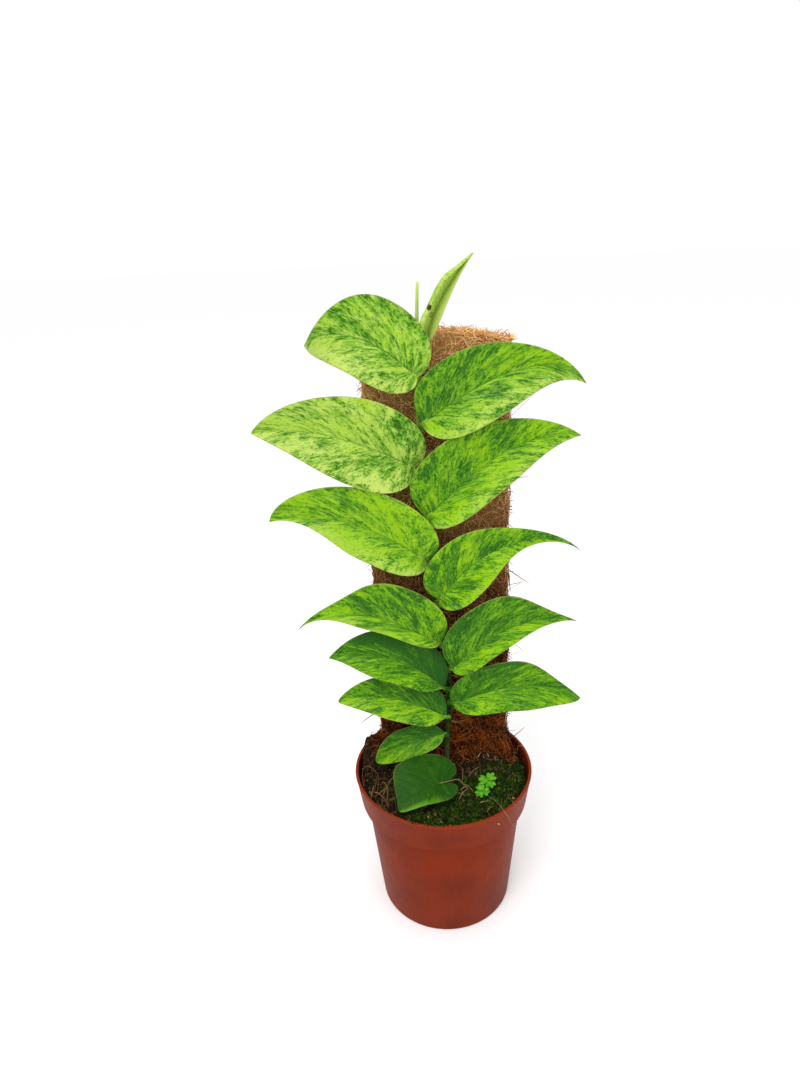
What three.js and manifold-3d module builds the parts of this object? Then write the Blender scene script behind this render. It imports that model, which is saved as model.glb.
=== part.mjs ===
// A young climbing aroid in a round nursery pot. Its leaves shingle up the front of a coir board,
// by turns to the left and to the right, from one stem that stands in the soil.
// Millimetres, +Z up. The origin is the middle of the pot's foot; the leaves face -Y.
import * as THREE from 'three';
import { mergeVertices } from 'three/addons/utils/BufferGeometryUtils.js';
import Module from 'manifold-3d';

const wasm = await Module();
wasm.setup();

const gap = 0.3;
const radians = Math.PI / 180;

// Pot: a thin tapered wall with a deeper band round the rim and drain holes in its floor.
const pot = {
  height: 112,
  rimRadius: 65,
  bandHeight: 24,
  bandFootRadius: 61.6,
  waistRadius: 57.6,
  footRadius: 49,
  wall: 1.8,
  floor: 2.2,
  sides: 36,
  drainHoles: 8,
  drainCircle: 34,
  drainRadius: 3.5,
};

// Board: a plank wrapped in coir, standing behind the stem, a little right of the middle.
const board = {
  x: 3,
  y: 27.6,
  width: 95,
  thickness: 24,
  top: 423,
  shoulder: 96,
  buried: [46, 66, 86],
  footWidth: 66,
  potClearance: 2.2,
  coreWidth: 54,
  coreThickness: 10,
  coreTop: 418,
  skirtHeight: 118,
  skirtReach: 3,
  topFall: 7,
  fallStart: -5,
  lump: 0.7,
  sides: 32,
  steps: 13,
};

// Soil: its level, the crumb on top, and the heaps of coir and soil at the left and round the board.
const soil = {
  level: 102.5,
  crumb: 1.1,
  rings: 6,
  sides: 32,
  heaps: [
    { x: -53, y: 19, height: 23, spread: 12.5 },
    { x: -30, y: 4, height: 6, spread: 14 },
    { x: 34, y: 8, height: 8, spread: 13 },
    { x: 8, y: -18, height: 3, spread: 16 },
  ],
};

// Stem: its course from the soil to the shoot, its girth, and the short roots that grip the coir.
const stem = {
  course: [
    [4.5, -19, 78], [4.5, -18, 104], [3, -4, 120], [4, 7, 136], [6.5, 10.6, 152], [6, 10.8, 178],
    [1, 10.8, 223], [-4.5, 10.8, 266], [-7, 10.8, 316], [-9, 10.8, 361], [-8.5, 10.6, 392], [-8, 9, 416],
  ],
  lowRadius: 2.1,
  topRadius: 2.1,
  nodeSwelling: 0.5,
  sides: 8,
  steps: 46,
  rootRadius: 0.8,
  rootLength: 13,
};

// Leaves, from the top down. at: where the stalk meets the blade. side: -1 left, 1 right.
// rise: heading of the midrib above level at its start and its tip, and how late it turns.
// forward: how far the midrib points towards -Y at its start and its tip.
// lean: how far the blade faces upward. A pair gives the upper half and then the lower half.
// fold: how far each half rises out of the blade's plane. width: how wide it is.
// lobe: how far it reaches back past the stalk, negative for a wedge. belly: where it is widest.
// taper: how full it stays towards the tip. point: how blunt the tip is.
const leaves = [
  { name: 'leaf_01', side: -1, at: [-10, -2, 400], length: 91, rise: [45, -52, 1.6], forward: [6, -52],
    lean: 10, fold: [16, 16], width: [27.7, 23.1], lobe: [2.6, 5.3], belly: [0.37, 0.33], taper: [0.68, 1],
    point: [0.13, 0.5], wave: 1.0, drop: 15 },
  { name: 'leaf_02', side: 1, at: [-8, -1.5, 371], length: 115, rise: [34, -54, 2.5], forward: [9, -14],
    lean: 16, fold: [20, 27], width: [25.8, 25.1], lobe: [-1.2, 0.3], belly: [0.27, 0.34], taper: [0.7, 0.86],
    point: [0.24, 0.22], wave: 1.6, drop: 15 },
  { name: 'leaf_03', side: -1, at: [-13.5, -2.6, 344], length: 107.5, rise: [30, -14, 1.6], forward: [10, -16],
    lean: 14, fold: [25, 18], width: [30.5, 27], lobe: [4.8, 5.2], belly: [0.32, 0.31], taper: [0.96, 0.87],
    point: [0.2, 0.37], wave: 1.2, drop: 15 },
  { name: 'leaf_04', side: 1, at: [-7, -5, 310], length: 117, rise: [46, -20, 2.2], forward: [8, -12],
    lean: 14, fold: [24, 20], width: [30.9, 20.7], lobe: [-1.5, 3.7], belly: [0.27, 0.35], taper: [0.7, 0.76],
    point: [0.42, 0.61], wave: 1.2, drop: 15 },
  { name: 'leaf_05', side: -1, at: [-9, -5, 281], length: 109, rise: [41, -18, 1.4], forward: [8, -10],
    lean: 13, fold: [28, 22], width: [29.4, 21.4], lobe: [5.1, 7.5], belly: [0.35, 0.34], taper: [0.93, 0.75],
    point: [0.5, 0.04], wave: 1.4, drop: 14 },
  { name: 'leaf_06', side: 1, at: [0, -4, 250], length: 117, rise: [57, -46, 1.45], forward: [10, -16],
    lean: 13, fold: [24, 22], width: [25.3, 18.7], lobe: [-1.4, 4.9], belly: [0.25, 0.23], taper: [0.46, 0.46],
    point: [0.25, 0.04], wave: 1.2, drop: 14 },
  { name: 'leaf_07', side: -1, at: [-1, -4, 217], length: 109, rise: [36, -54, 2], forward: [10, -14],
    lean: 14, fold: [26, 24], width: [30.5, 10], lobe: [0.1, 1.2], belly: [0.37, 0.41], taper: [0.52, 0.75],
    point: [0.17, 0.04], wave: 1.2, drop: 13 },
  { name: 'leaf_08', side: 1, at: [8.5, -5, 196], length: 101, rise: [56, -24, 1.2], forward: [10, -14],
    lean: 15, fold: [24, 24], width: [28.5, 13.4], lobe: [-5, 2.4], belly: [0.43, 0.3], taper: [0.64, 0.74],
    point: [0.21, 0.16], wave: 1.2, drop: 12 },
  { name: 'leaf_09', side: -1, at: [2.5, -0.5, 178], length: 92, rise: [52, -16, 1.1], forward: [8, -6],
    lean: 26, fold: [18, 20], width: [22, 15.7], lobe: [-6, -6], belly: [0.48, 0.51], taper: [0.91, 0.82],
    point: [0.19, 0.38], wave: 1.1, drop: 11 },
  { name: 'leaf_10', side: 1, at: [8, -5, 168], length: 97, rise: [28, -42, 1.5], forward: [10, -8],
    lean: 20, fold: [24, 24], width: [21.6, 17.3], lobe: [0.4, 0.4], belly: [0.42, 0.51], taper: [0.64, 1],
    point: [0.25, 0.31], wave: 1.1, drop: 12 },
  { name: 'leaf_11', side: -1, at: [4, -1, 154], length: 85, rise: [36, -22, 1.5], forward: [8, -4],
    lean: 30, fold: [16, 18], width: [17.7, 15.5], lobe: [-5, -5], belly: [0.36, 0.43], taper: [0.77, 0.91],
    point: [0.75, 0.35], wave: 1.0, drop: 9 },
  { name: 'leaf_12', side: -1, at: [2, -4, 142], length: 57, rise: [-8, -40, 1.5], forward: [8, 0],
    lean: 32, fold: [16, 18], width: [12.5, 10.5], lobe: [-2, -2], belly: [0.53, 0.45], taper: [0.94, 0.94],
    point: [0.14, 0.55], wave: 0.5, drop: 10 },
  { name: 'leaf_13', side: -1, at: [-1, -29, 118.8], length: 39.5, rise: [8, -43, 1.2], forward: [22, 30],
    lean: 56, fold: [7, 7], width: [24.5, 12.6], lobe: [18.5, 12.5], belly: [0.5, 0.1], taper: [0.68, 0.96],
    point: [0.48, 0.6], wave: 0.5, drop: 5 },
];

// The newest leaf, still folded along its midrib, and the slim point of the shoot beside it.
const newLeaf = { name: 'new_leaf', side: 1, at: [-3.8, 8, 419], length: 58.5, rise: [74.8, 42.7, 1],
  forward: [-2, 0], lean: 6, fold: [56, 56], width: [10.8, 8.3], lobe: [1, 1], belly: [0.58, 0.3],
  taper: [0.65, 0.97], point: [0.62, 0.12], wave: 0.4, drop: 10 };
const shootTip = { foot: [-9.1, 8.6, 413], top: [-7.3, 7.4, 454], radius: 1.4 };

// How every leaf's outline is drawn, as shares of its length and of each half's width.
const outline = { lobeShare: 0.4, neck: 0.15, lobeReach: 1.3, shoulder: 0.5, flank: 0.25,
  veinSlant: 1.9, edgeCurl: 0.08 };
const blade = { thickness: 0.8, rows: 12, columns: 3, waves: 2.2, midribSteps: 48 };
const stalk = { lowRadius: 1.9, ribRadius: 1.1, ribEnd: 0.5, ribShare: 0.7, sides: 5, steps: 9 };

// Small growth on the soil: looped roots at the left and a seedling at the right.
const loops = [
  { from: [-52, -14], to: [-38, -30], rise: 10, swing: [-4, -6] },
  { from: [-44, -34], to: [-50, -8], rise: 8, swing: [5, 2] },
  { from: [-56, -20], to: [-36, -14], rise: 7, swing: [2, -6] },
];
const loopRadius = 0.9;
const seedlings = [
  { x: 31.3, y: -18.6, height: 7, spread: 6.6, turn: 20 },
  { x: 25.8, y: -28.1, height: 5, spread: 5.4, turn: 75 },
];
const seedling = { stalkRadius: 0.7, lobes: 5, notch: 0.5, thickness: 0.8 };

function makeSolid(geometry) {
  const bare = geometry.index ? geometry.toNonIndexed() : geometry.clone();
  bare.deleteAttribute('normal');
  bare.deleteAttribute('uv');
  const merged = mergeVertices(bare, 1e-4);
  const corners = [];
  for (let i = 0; i < merged.index.count; i += 3) {
    const [a, b, c] = [0, 1, 2].map((k) => merged.index.getX(i + k));
    if (a !== b && b !== c && c !== a) {
      corners.push(a, b, c);
    }
  }
  return new wasm.Manifold(new wasm.Mesh({
    numProp: 3,
    vertProperties: new Float32Array(merged.attributes.position.array),
    triVerts: new Uint32Array(corners),
  }));
}

function makeGeometry(solid) {
  const mesh = solid.getMesh();
  const geometry = new THREE.BufferGeometry();
  geometry.setAttribute('position', new THREE.BufferAttribute(mesh.vertProperties, 3));
  geometry.setIndex(new THREE.BufferAttribute(mesh.triVerts, 1));
  geometry.computeVertexNormals();
  return geometry;
}

// The largest closed body of a solid: crumbs that a cut leaves behind are dropped.
function mainBody(solid) {
  return solid.decompose().sort((a, b) => b.volume() - a.volume())[0];
}

// A closed skin through rings of points, each ring closed by a fan at the first and the last.
function loft(rings) {
  const position = rings.flat().flatMap((p) => [p.x, p.y, p.z]);
  const count = rings[0].length;
  const index = [];
  for (let row = 0; row + 1 < rings.length; row += 1) {
    for (let i = 0; i < count; i += 1) {
      const a = row * count + i;
      const b = row * count + (i + 1) % count;
      index.push(a, b, b + count, a, b + count, a + count);
    }
  }
  [[0, true], [rings.length - 1, false]].forEach(([row, first]) => {
    const centre = rings[row].reduce((sum, p) => sum.add(p), new THREE.Vector3()).divideScalar(count);
    const hub = position.length / 3;
    position.push(centre.x, centre.y, centre.z);
    for (let i = 0; i < count; i += 1) {
      const a = row * count + i;
      const b = row * count + (i + 1) % count;
      index.push(...(first ? [hub, b, a] : [hub, a, b]));
    }
  });
  const geometry = new THREE.BufferGeometry();
  geometry.setAttribute('position', new THREE.Float32BufferAttribute(position, 3));
  geometry.setIndex(index);
  return geometry;
}

// A round rod along a curve, its radius given by a function of the way along, from 0 to 1.
function rod(curve, radiusAt, steps, sides) {
  const frames = curve.computeFrenetFrames(steps, false);
  const rings = [];
  for (let i = 0; i <= steps; i += 1) {
    const centre = curve.getPointAt(i / steps);
    const radius = radiusAt(i / steps);
    const ring = [];
    for (let k = 0; k < sides; k += 1) {
      const angle = (k / sides) * 2 * Math.PI;
      ring.push(centre.clone()
        .addScaledVector(frames.normals[i], radius * Math.cos(angle))
        .addScaledVector(frames.binormals[i], radius * Math.sin(angle)));
    }
    rings.push(ring);
  }
  return loft(rings);
}

function smoothCurve(points) {
  return new THREE.CatmullRomCurve3(points.map((p) => new THREE.Vector3(...p)), false, 'centripetal');
}

const stemCurve = smoothCurve(stem.course);

// The point of the stem's middle line at a given height.
function stemAt(height) {
  let low = 0;
  let high = 1;
  for (let i = 0; i < 30; i += 1) {
    const middle = (low + high) / 2;
    if (stemCurve.getPointAt(middle).z < height) {
      low = middle;
    } else {
      high = middle;
    }
  }
  return stemCurve.getPointAt(low);
}

// Pot

function innerWall(height) {
  const bandFoot = pot.height - pot.bandHeight;
  if (height > bandFoot) {
    const share = (height - bandFoot) / pot.bandHeight;
    return THREE.MathUtils.lerp(pot.bandFootRadius, pot.rimRadius, share) - pot.wall;
  }
  return THREE.MathUtils.lerp(pot.footRadius, pot.waistRadius, height / bandFoot) - pot.wall;
}

function makePot() {
  const bandFoot = pot.height - pot.bandHeight;
  const profile = [
    [0, 0], [pot.footRadius - 1.2, 0], [pot.footRadius, 1.2],
    [pot.waistRadius, bandFoot], [pot.bandFootRadius - 0.4, bandFoot],
    [pot.bandFootRadius, bandFoot + 0.8], [pot.rimRadius, pot.height - 0.8],
    [pot.rimRadius - 0.6, pot.height], [pot.rimRadius - pot.wall + 0.3, pot.height],
    [innerWall(pot.height - 1), pot.height - 1], [innerWall(bandFoot + pot.wall), bandFoot + pot.wall],
    [innerWall(bandFoot), bandFoot], [innerWall(pot.floor), pot.floor], [0, pot.floor],
  ].map(([r, z]) => new THREE.Vector2(r, z));
  const shell = new THREE.LatheGeometry(profile, pot.sides).rotateX(Math.PI / 2);
  let solid = makeSolid(shell);
  for (let i = 0; i < pot.drainHoles; i += 1) {
    const angle = (i / pot.drainHoles) * 2 * Math.PI;
    const drain = new THREE.CylinderGeometry(pot.drainRadius, pot.drainRadius, 4 * pot.floor, 12);
    drain.rotateX(Math.PI / 2);
    drain.translate(pot.drainCircle * Math.cos(angle), pot.drainCircle * Math.sin(angle), 0);
    solid = solid.subtract(makeSolid(drain));
  }
  return solid;
}

// Board: a plank inside, and round it a wrap of coir with straight faces and round ends, its top edge
// falling away to the right.

function topEdge(x) {
  const share = Math.max(0, x - board.fallStart) / (board.x + board.width / 2 - board.fallStart);
  return board.topFall * share * share;
}

function boardRing(height, widthAt, grow, lumps, falls) {
  const width = widthAt + 2 * grow;
  const thickness = board.thickness + 2 * grow;
  const ring = [];
  const halfRun = (width - thickness) / 2;
  const flare = board.skirtReach * THREE.MathUtils.smoothstep(board.skirtHeight - height, 0, 14)
    * THREE.MathUtils.smoothstep(height, board.shoulder, board.shoulder + 8);
  for (let i = 0; i < board.sides; i += 1) {
    const angle = ((i + 0.5) / board.sides) * 2 * Math.PI;
    const ease = (v) => Math.sign(v) * Math.abs(v) ** 0.55;
    const end = THREE.MathUtils.clamp(ease(Math.cos(angle)) * 1.25, -1, 1);
    const bump = lumps * (Math.sin(5 * angle + height * 0.11) + Math.sin(height * 0.23 - 3 * angle) - 2) / 2;
    const radius = thickness / 2 + bump * board.lump + flare * lumps;
    const x = board.x + end * halfRun + radius * Math.cos(angle);
    const y = board.y + radius * ease(Math.sin(angle));
    // Inside the pot the wrap is pressed in clear of the wall.
    const limit = height < pot.height + 4 ? innerWall(Math.min(height, pot.height)) - board.potClearance : 1e3;
    const pressed = Math.min(1, (limit + grow) / Math.hypot(x, y));
    ring.push(new THREE.Vector3(x * pressed, y * pressed, height - (falls ? topEdge(x) : 0)));
  }
  return ring;
}

function boardWrap(grow) {
  const rings = board.buried.map((height, i) => {
    const width = THREE.MathUtils.lerp(board.footWidth, board.width, i / board.buried.length);
    return boardRing(i === 0 ? height - grow : height, width, grow, 0);
  });
  for (let i = 0; i <= board.steps; i += 1) {
    const height = THREE.MathUtils.lerp(board.shoulder, board.top - 2, (i / board.steps) ** 1.3);
    rings.push(boardRing(height, board.width, grow, 1, i === board.steps));
  }
  rings.push(boardRing(board.top, board.width, grow - 1.5, 1, true));
  return makeSolid(loft(rings));
}

function boardPlank(grow) {
  const bottom = pot.floor + gap - grow;
  const top = board.coreTop + (grow > 0 ? 20 : 0);
  const plank = new THREE.BoxGeometry(
    board.coreWidth + 2 * grow,
    board.coreThickness + 2 * grow,
    top - bottom,
  );
  plank.translate(board.x, board.y, (top + bottom) / 2);
  return makeSolid(plank);
}

// Stem, with a swelling at each leaf's node and a pair of short roots that lie along the coir.

function stemRadius(share) {
  return THREE.MathUtils.lerp(stem.lowRadius, stem.topRadius, share);
}

function makeStem(grow) {
  const heights = leaves.map((leaf) => leaf.at[2] - leaf.drop);
  const radiusAt = (share) => {
    const height = stemCurve.getPointAt(share).z;
    const swelling = Math.max(...heights.map((h) => Math.exp(-(((height - h) / 3) ** 2))));
    return stemRadius(share) + stem.nodeSwelling * swelling + grow;
  };
  return makeSolid(rod(stemCurve, radiusAt, stem.steps, stem.sides));
}

function gripRoots() {
  const front = board.y - board.thickness / 2;
  const course = front - stem.rootRadius - gap;
  return leaves.slice(0, 11).map((leaf, i) => {
    const start = stemAt(leaf.at[2] - leaf.drop - 4);
    const reach = stem.rootLength * (0.8 + 0.4 * Math.abs(Math.sin(3 * i + 1)));
    const points = [
      [start.x, start.y, start.z],
      [start.x - leaf.side * 3, (start.y + course) / 2, start.z],
      [start.x - leaf.side * 0.6 * reach, course, start.z - 2],
      [start.x - leaf.side * reach, course, start.z - 5 * Math.sin(2 * i)],
    ];
    return makeSolid(rod(smoothCurve(points), () => stem.rootRadius, 5, 5));
  });
}

// Leaves

function cubic(a, b, c, d, t) {
  const s = 1 - t;
  return s * s * s * a + 3 * s * s * t * b + 3 * s * t * t * c + t * t * t * d;
}

// One half's margin on the flat leaf, from the stalk round the lobe to the tip as t goes from 0 to 1.
function marginPoint(leaf, half, t) {
  const width = leaf.width[half];
  const widest = leaf.belly[half] * leaf.length;
  if (t < outline.lobeShare) {
    const k = t / outline.lobeShare;
    const back = -outline.lobeReach * leaf.lobe[half];
    return [
      cubic(0, back, -outline.shoulder * leaf.lobe[half], widest, k),
      cubic(0, outline.neck * width, width, width, k),
    ];
  }
  const k = (t - outline.lobeShare) / (1 - outline.lobeShare);
  return [
    cubic(widest, widest + outline.flank * leaf.length, leaf.taper[half] * leaf.length, leaf.length, k),
    cubic(width, width, leaf.point[half] * width, 0, k),
  ];
}

// Places along the midrib, each with the directions along, across towards the upper half, and out.
function midribFrames(leaf) {
  const [start, end, turn] = leaf.rise;
  const lean = leaf.lean * radians;
  const frames = [];
  const point = new THREE.Vector3(...leaf.at);
  for (let i = 0; i <= blade.midribSteps; i += 1) {
    const share = i / blade.midribSteps;
    const rise = (start + (end - start) * share ** turn) * radians;
    const forward = THREE.MathUtils.lerp(...leaf.forward, share) * radians;
    const along = new THREE.Vector3(
      leaf.side * Math.cos(rise) * Math.cos(forward),
      -Math.sin(forward),
      Math.sin(rise) * Math.cos(forward),
    );
    const out = new THREE.Vector3(0, -Math.cos(lean), Math.sin(lean));
    out.addScaledVector(along, -out.dot(along)).normalize();
    const across = new THREE.Vector3().crossVectors(out, along).multiplyScalar(leaf.side);
    frames.push({ point: point.clone(), along, across, out });
    point.addScaledVector(along, leaf.length / blade.midribSteps);
  }
  return frames;
}

function frameAt(frames, leaf, distance) {
  const place = THREE.MathUtils.clamp(distance / leaf.length, 0, 1) * blade.midribSteps;
  const low = frames[Math.min(Math.floor(place), blade.midribSteps - 1)];
  const high = frames[Math.min(Math.floor(place) + 1, blade.midribSteps)];
  const share = Math.min(place - Math.floor(place), 1);
  const mixed = {};
  ['point', 'along', 'across', 'out'].forEach((key) => {
    mixed[key] = low[key].clone().lerp(place >= blade.midribSteps ? low[key] : high[key], share);
  });
  if (place >= blade.midribSteps) {
    mixed.point.copy(high.point);
  }
  if (distance < 0) {
    mixed.point.addScaledVector(mixed.along, distance);
  }
  return mixed;
}

// The folded, curled and waved surface over the flat outline; across is negative on the lower half.
function bladePoint(frames, leaf, distance, across) {
  const frame = frameAt(frames, leaf, distance);
  const half = across < 0 ? 1 : 0;
  const width = leaf.width[half];
  const share = Math.abs(across) / width;
  const fold = leaf.fold[half] * radians;
  const phase = half === 1 ? 0 : 2;
  const wave = leaf.wave * Math.sin(2 * Math.PI * blade.waves * distance / leaf.length + phase);
  const lift = width * (Math.sin(fold) * share - outline.edgeCurl * share * share) + wave * share * share;
  return {
    place: frame.point.addScaledVector(frame.across, across * Math.cos(fold))
      .addScaledVector(frame.out, lift),
    out: frame.out,
  };
}

function makeBlade(leaf, frames) {
  const { rows, columns, thickness } = blade;
  const perRow = 2 * columns + 1;
  const position = [];
  [0.5, -0.5].forEach((face) => {
    for (let row = 0; row <= rows; row += 1) {
      const t = row / rows;
      const foot = leaf.length * t ** outline.veinSlant;
      for (let column = -columns; column <= columns; column += 1) {
        const [alongEdge, acrossEdge] = marginPoint(leaf, column < 0 ? 1 : 0, t);
        const share = Math.abs(column) / columns;
        const distance = THREE.MathUtils.lerp(foot, alongEdge, share);
        const across = Math.sign(column) * share * acrossEdge;
        const { place, out } = bladePoint(frames, leaf, distance, across);
        place.addScaledVector(out, face * thickness);
        position.push(place.x, place.y, place.z);
      }
    }
  });
  const index = [];
  const faceStart = perRow * (rows + 1);
  const turned = leaf.side > 0;
  const triangle = (a, b, c) => index.push(...(turned ? [a, b, c] : [a, c, b]));
  for (let row = 0; row < rows; row += 1) {
    for (let column = 0; column + 1 < perRow; column += 1) {
      const a = row * perRow + column;
      const b = a + 1;
      const c = a + perRow;
      const d = c + 1;
      const corners = column < columns ? [[a, c, d], [a, d, b]] : [[a, c, b], [b, c, d]];
      corners.forEach(([p, q, r]) => {
        triangle(p, q, r);
        triangle(p + faceStart, r + faceStart, q + faceStart);
      });
    }
    [0, perRow - 1].forEach((column) => {
      const a = row * perRow + column;
      const b = a + perRow;
      const wall = [[a, a + faceStart, b + faceStart], [a, b + faceStart, b]];
      wall.forEach(([p, q, r]) => (column === 0 ? triangle(p, q, r) : triangle(p, r, q)));
    });
  }
  const geometry = new THREE.BufferGeometry();
  geometry.setAttribute('position', new THREE.Float32BufferAttribute(position, 3));
  geometry.setIndex(index);
  return makeSolid(geometry);
}

// The stalk rises from the stem, turns over at the blade and runs on behind it as the midrib.
function makeStalk(leaf, frames) {
  const foot = stemAt(leaf.at[2] - leaf.drop);
  const base = frames[0];
  const behind = 0.9;
  const points = [
    foot.clone(),
    new THREE.Vector3((foot.x + base.point.x) / 2, foot.y - 3.2, (foot.z + base.point.z) / 2),
    base.point.clone().addScaledVector(base.out, -behind),
  ];
  [0.1, 0.25, 0.5, stalk.ribShare].forEach((share) => {
    const frame = frameAt(frames, leaf, share * leaf.length);
    points.push(frame.point.addScaledVector(frame.out, -0.6));
  });
  const curve = new THREE.CatmullRomCurve3(points, false, 'centripetal');
  const reach = curve.getLength();
  const stalkShare = foot.distanceTo(base.point) / reach;
  const radiusAt = (share) => (share < stalkShare
    ? THREE.MathUtils.lerp(stalk.lowRadius, stalk.ribRadius, share / stalkShare)
    : THREE.MathUtils.lerp(stalk.ribRadius, stalk.ribEnd, (share - stalkShare) / (1 - stalkShare)));
  return makeSolid(rod(curve, radiusAt, stalk.steps, stalk.sides));
}

function makeLeaf(leaf, stemCutter) {
  const frames = midribFrames(leaf);
  const whole = makeBlade(leaf, frames).add(makeStalk(leaf, frames));
  return mainBody(whole.subtract(stemCutter));
}

function makeShootTip(stemCutter) {
  const curve = smoothCurve([shootTip.foot, shootTip.top]);
  const spike = makeSolid(rod(curve, (share) => shootTip.radius * (1 - 0.4 * share), 6, 6));
  return mainBody(spike.subtract(stemCutter));
}

// Soil

function soilHeight(x, y) {
  const crumb = Math.sin(0.31 * x + 1.3) * Math.cos(0.27 * y) + 0.6 * Math.sin(0.53 * x - 0.47 * y);
  const heaps = soil.heaps.reduce((sum, heap) => {
    const away = ((x - heap.x) ** 2 + (y - heap.y) ** 2) / (heap.spread * heap.spread);
    return sum + heap.height * Math.exp(-away);
  }, 0);
  return soil.level + soil.crumb * crumb + heaps;
}

function makeSoil(cutters) {
  const bandFoot = pot.height - pot.bandHeight;
  const wallHeights = [pot.floor + gap, bandFoot - gap, bandFoot + pot.wall + 4 * gap];
  const ringAt = (radius, heightAt) => Array.from({ length: soil.sides }, (_, i) => {
    const angle = (i / soil.sides) * 2 * Math.PI;
    const [x, y] = [radius * Math.cos(angle), radius * Math.sin(angle)];
    return new THREE.Vector3(x, y, heightAt(x, y));
  });
  // The soil's own sides are flats inside a round wall, so they keep well clear of it.
  const edge = (height) => innerWall(height) - 2 * gap;
  const rings = wallHeights.map((height) => ringAt(edge(height), () => height));
  const rim = edge(soil.level);
  for (let i = soil.rings; i > 0; i -= 1) {
    rings.push(ringAt(rim * (i / soil.rings), soilHeight));
  }
  const body = makeSolid(loft(rings));
  return mainBody(cutters.reduce((left, cutter) => left.subtract(cutter), body));
}

// Looped roots: each is an arch from the soil and back into it, and they cross where they touch.

function rootLoops(grow) {
  const arches = loops.map((arch) => {
    const [fromX, fromY] = arch.from;
    const [toX, toY] = arch.to;
    const point = (share) => {
      const x = THREE.MathUtils.lerp(fromX, toX, share) + arch.swing[0] * Math.sin(Math.PI * share);
      const y = THREE.MathUtils.lerp(fromY, toY, share) + arch.swing[1] * Math.sin(Math.PI * share);
      const ground = soilHeight(x, y);
      return [x, y, ground - 4 + (arch.rise + 4) * Math.sin(Math.PI * share)];
    };
    const curve = smoothCurve([0, 0.2, 0.4, 0.6, 0.8, 1].map(point));
    return makeSolid(rod(curve, () => loopRadius + grow, 10, 5));
  });
  return arches.reduce((sum, arch) => sum.add(arch));
}

// A seedling is a stalk under a small leaf that is cut into round lobes.

function seedlingStalk(sprout, grow) {
  const ground = soilHeight(sprout.x, sprout.y);
  const curve = smoothCurve([
    [sprout.x - 1, sprout.y + 2, ground - 5],
    [sprout.x - 0.5, sprout.y + 1, ground + sprout.height / 2],
    [sprout.x, sprout.y, ground + sprout.height],
  ]);
  return makeSolid(rod(curve, () => seedling.stalkRadius + grow, 5, 6));
}

function seedlingLeaf(sprout) {
  const shape = new THREE.Shape();
  const points = 5 * seedling.lobes;
  for (let i = 0; i < points; i += 1) {
    const angle = (i / points) * 2 * Math.PI;
    const wobble = 1 - seedling.notch * Math.abs(Math.cos(angle * seedling.lobes / 2)) ** 3;
    const radius = sprout.spread * wobble;
    shape[i === 0 ? 'moveTo' : 'lineTo'](radius * Math.cos(angle), 0.8 * radius * Math.sin(angle));
  }
  const flat = new THREE.ExtrudeGeometry(shape, { depth: seedling.thickness, bevelEnabled: false });
  flat.rotateZ(sprout.turn * radians);
  flat.rotateX(25 * radians);
  flat.translate(sprout.x, sprout.y, soilHeight(sprout.x, sprout.y) + sprout.height - 0.4);
  return makeSolid(flat);
}

// The whole plant

const colours = {
  terracotta: { color: 0x80391e, roughness: 0.45 },
  soil: { color: 0x27240f, roughness: 1 },
  coir: { color: 0x7d5327, roughness: 1 },
  plank: { color: 0x5a4630, roughness: 0.9 },
  stem: { color: 0x6f9a3a, roughness: 0.5 },
  leaf: { color: 0x74b02a, roughness: 0.4 },
  darkLeaf: { color: 0x2c6a14, roughness: 0.4 },
  youngLeaf: { color: 0x93c653, roughness: 0.4 },
  root: { color: 0x8a6238, roughness: 0.9 },
};

const plant = new THREE.Group();

function place(name, solid, finish) {
  const material = new THREE.MeshStandardMaterial({ ...colours[finish], metalness: 0 });
  const mesh = new THREE.Mesh(makeGeometry(solid), material);
  mesh.name = name;
  plant.add(mesh);
}

const stemSolid = gripRoots().reduce((sum, root) => sum.add(root), makeStem(0));
const stemCutter = gripRoots().reduce((sum, root) => sum.add(root), makeStem(gap));

place('pot', makePot(), 'terracotta');
place('soil', makeSoil([
  boardWrap(gap), boardPlank(gap), makeStem(gap), rootLoops(gap),
  ...seedlings.map((sprout) => seedlingStalk(sprout, gap)),
]), 'soil');
place('board_plank', boardPlank(0), 'plank');
place('board_coir', mainBody(boardWrap(0).subtract(boardPlank(gap))), 'coir');
place('stem', mainBody(stemSolid), 'stem');
leaves.forEach((leaf, i) => {
  place(leaf.name, makeLeaf(leaf, stemCutter), i < leaves.length - 2 ? 'leaf' : 'darkLeaf');
});
place(newLeaf.name, makeLeaf(newLeaf, stemCutter), 'youngLeaf');
place('shoot_tip', makeShootTip(stemCutter), 'youngLeaf');
place('surface_roots', mainBody(rootLoops(0)), 'root');
seedlings.forEach((sprout, i) => {
  place(`seedling_${i + 1}`, seedlingStalk(sprout, 0).add(seedlingLeaf(sprout)), 'leaf');
});

export default plant;
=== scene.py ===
# The finished look of a young climbing aroid: marbled leaves in two ranks on a coir board, in a round
# pot of mossy soil. Lengths in the settings are millimetres, and mm turns them into metres.
import math

import bpy
import numpy as np
from mathutils import Matrix, Vector, noise


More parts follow.
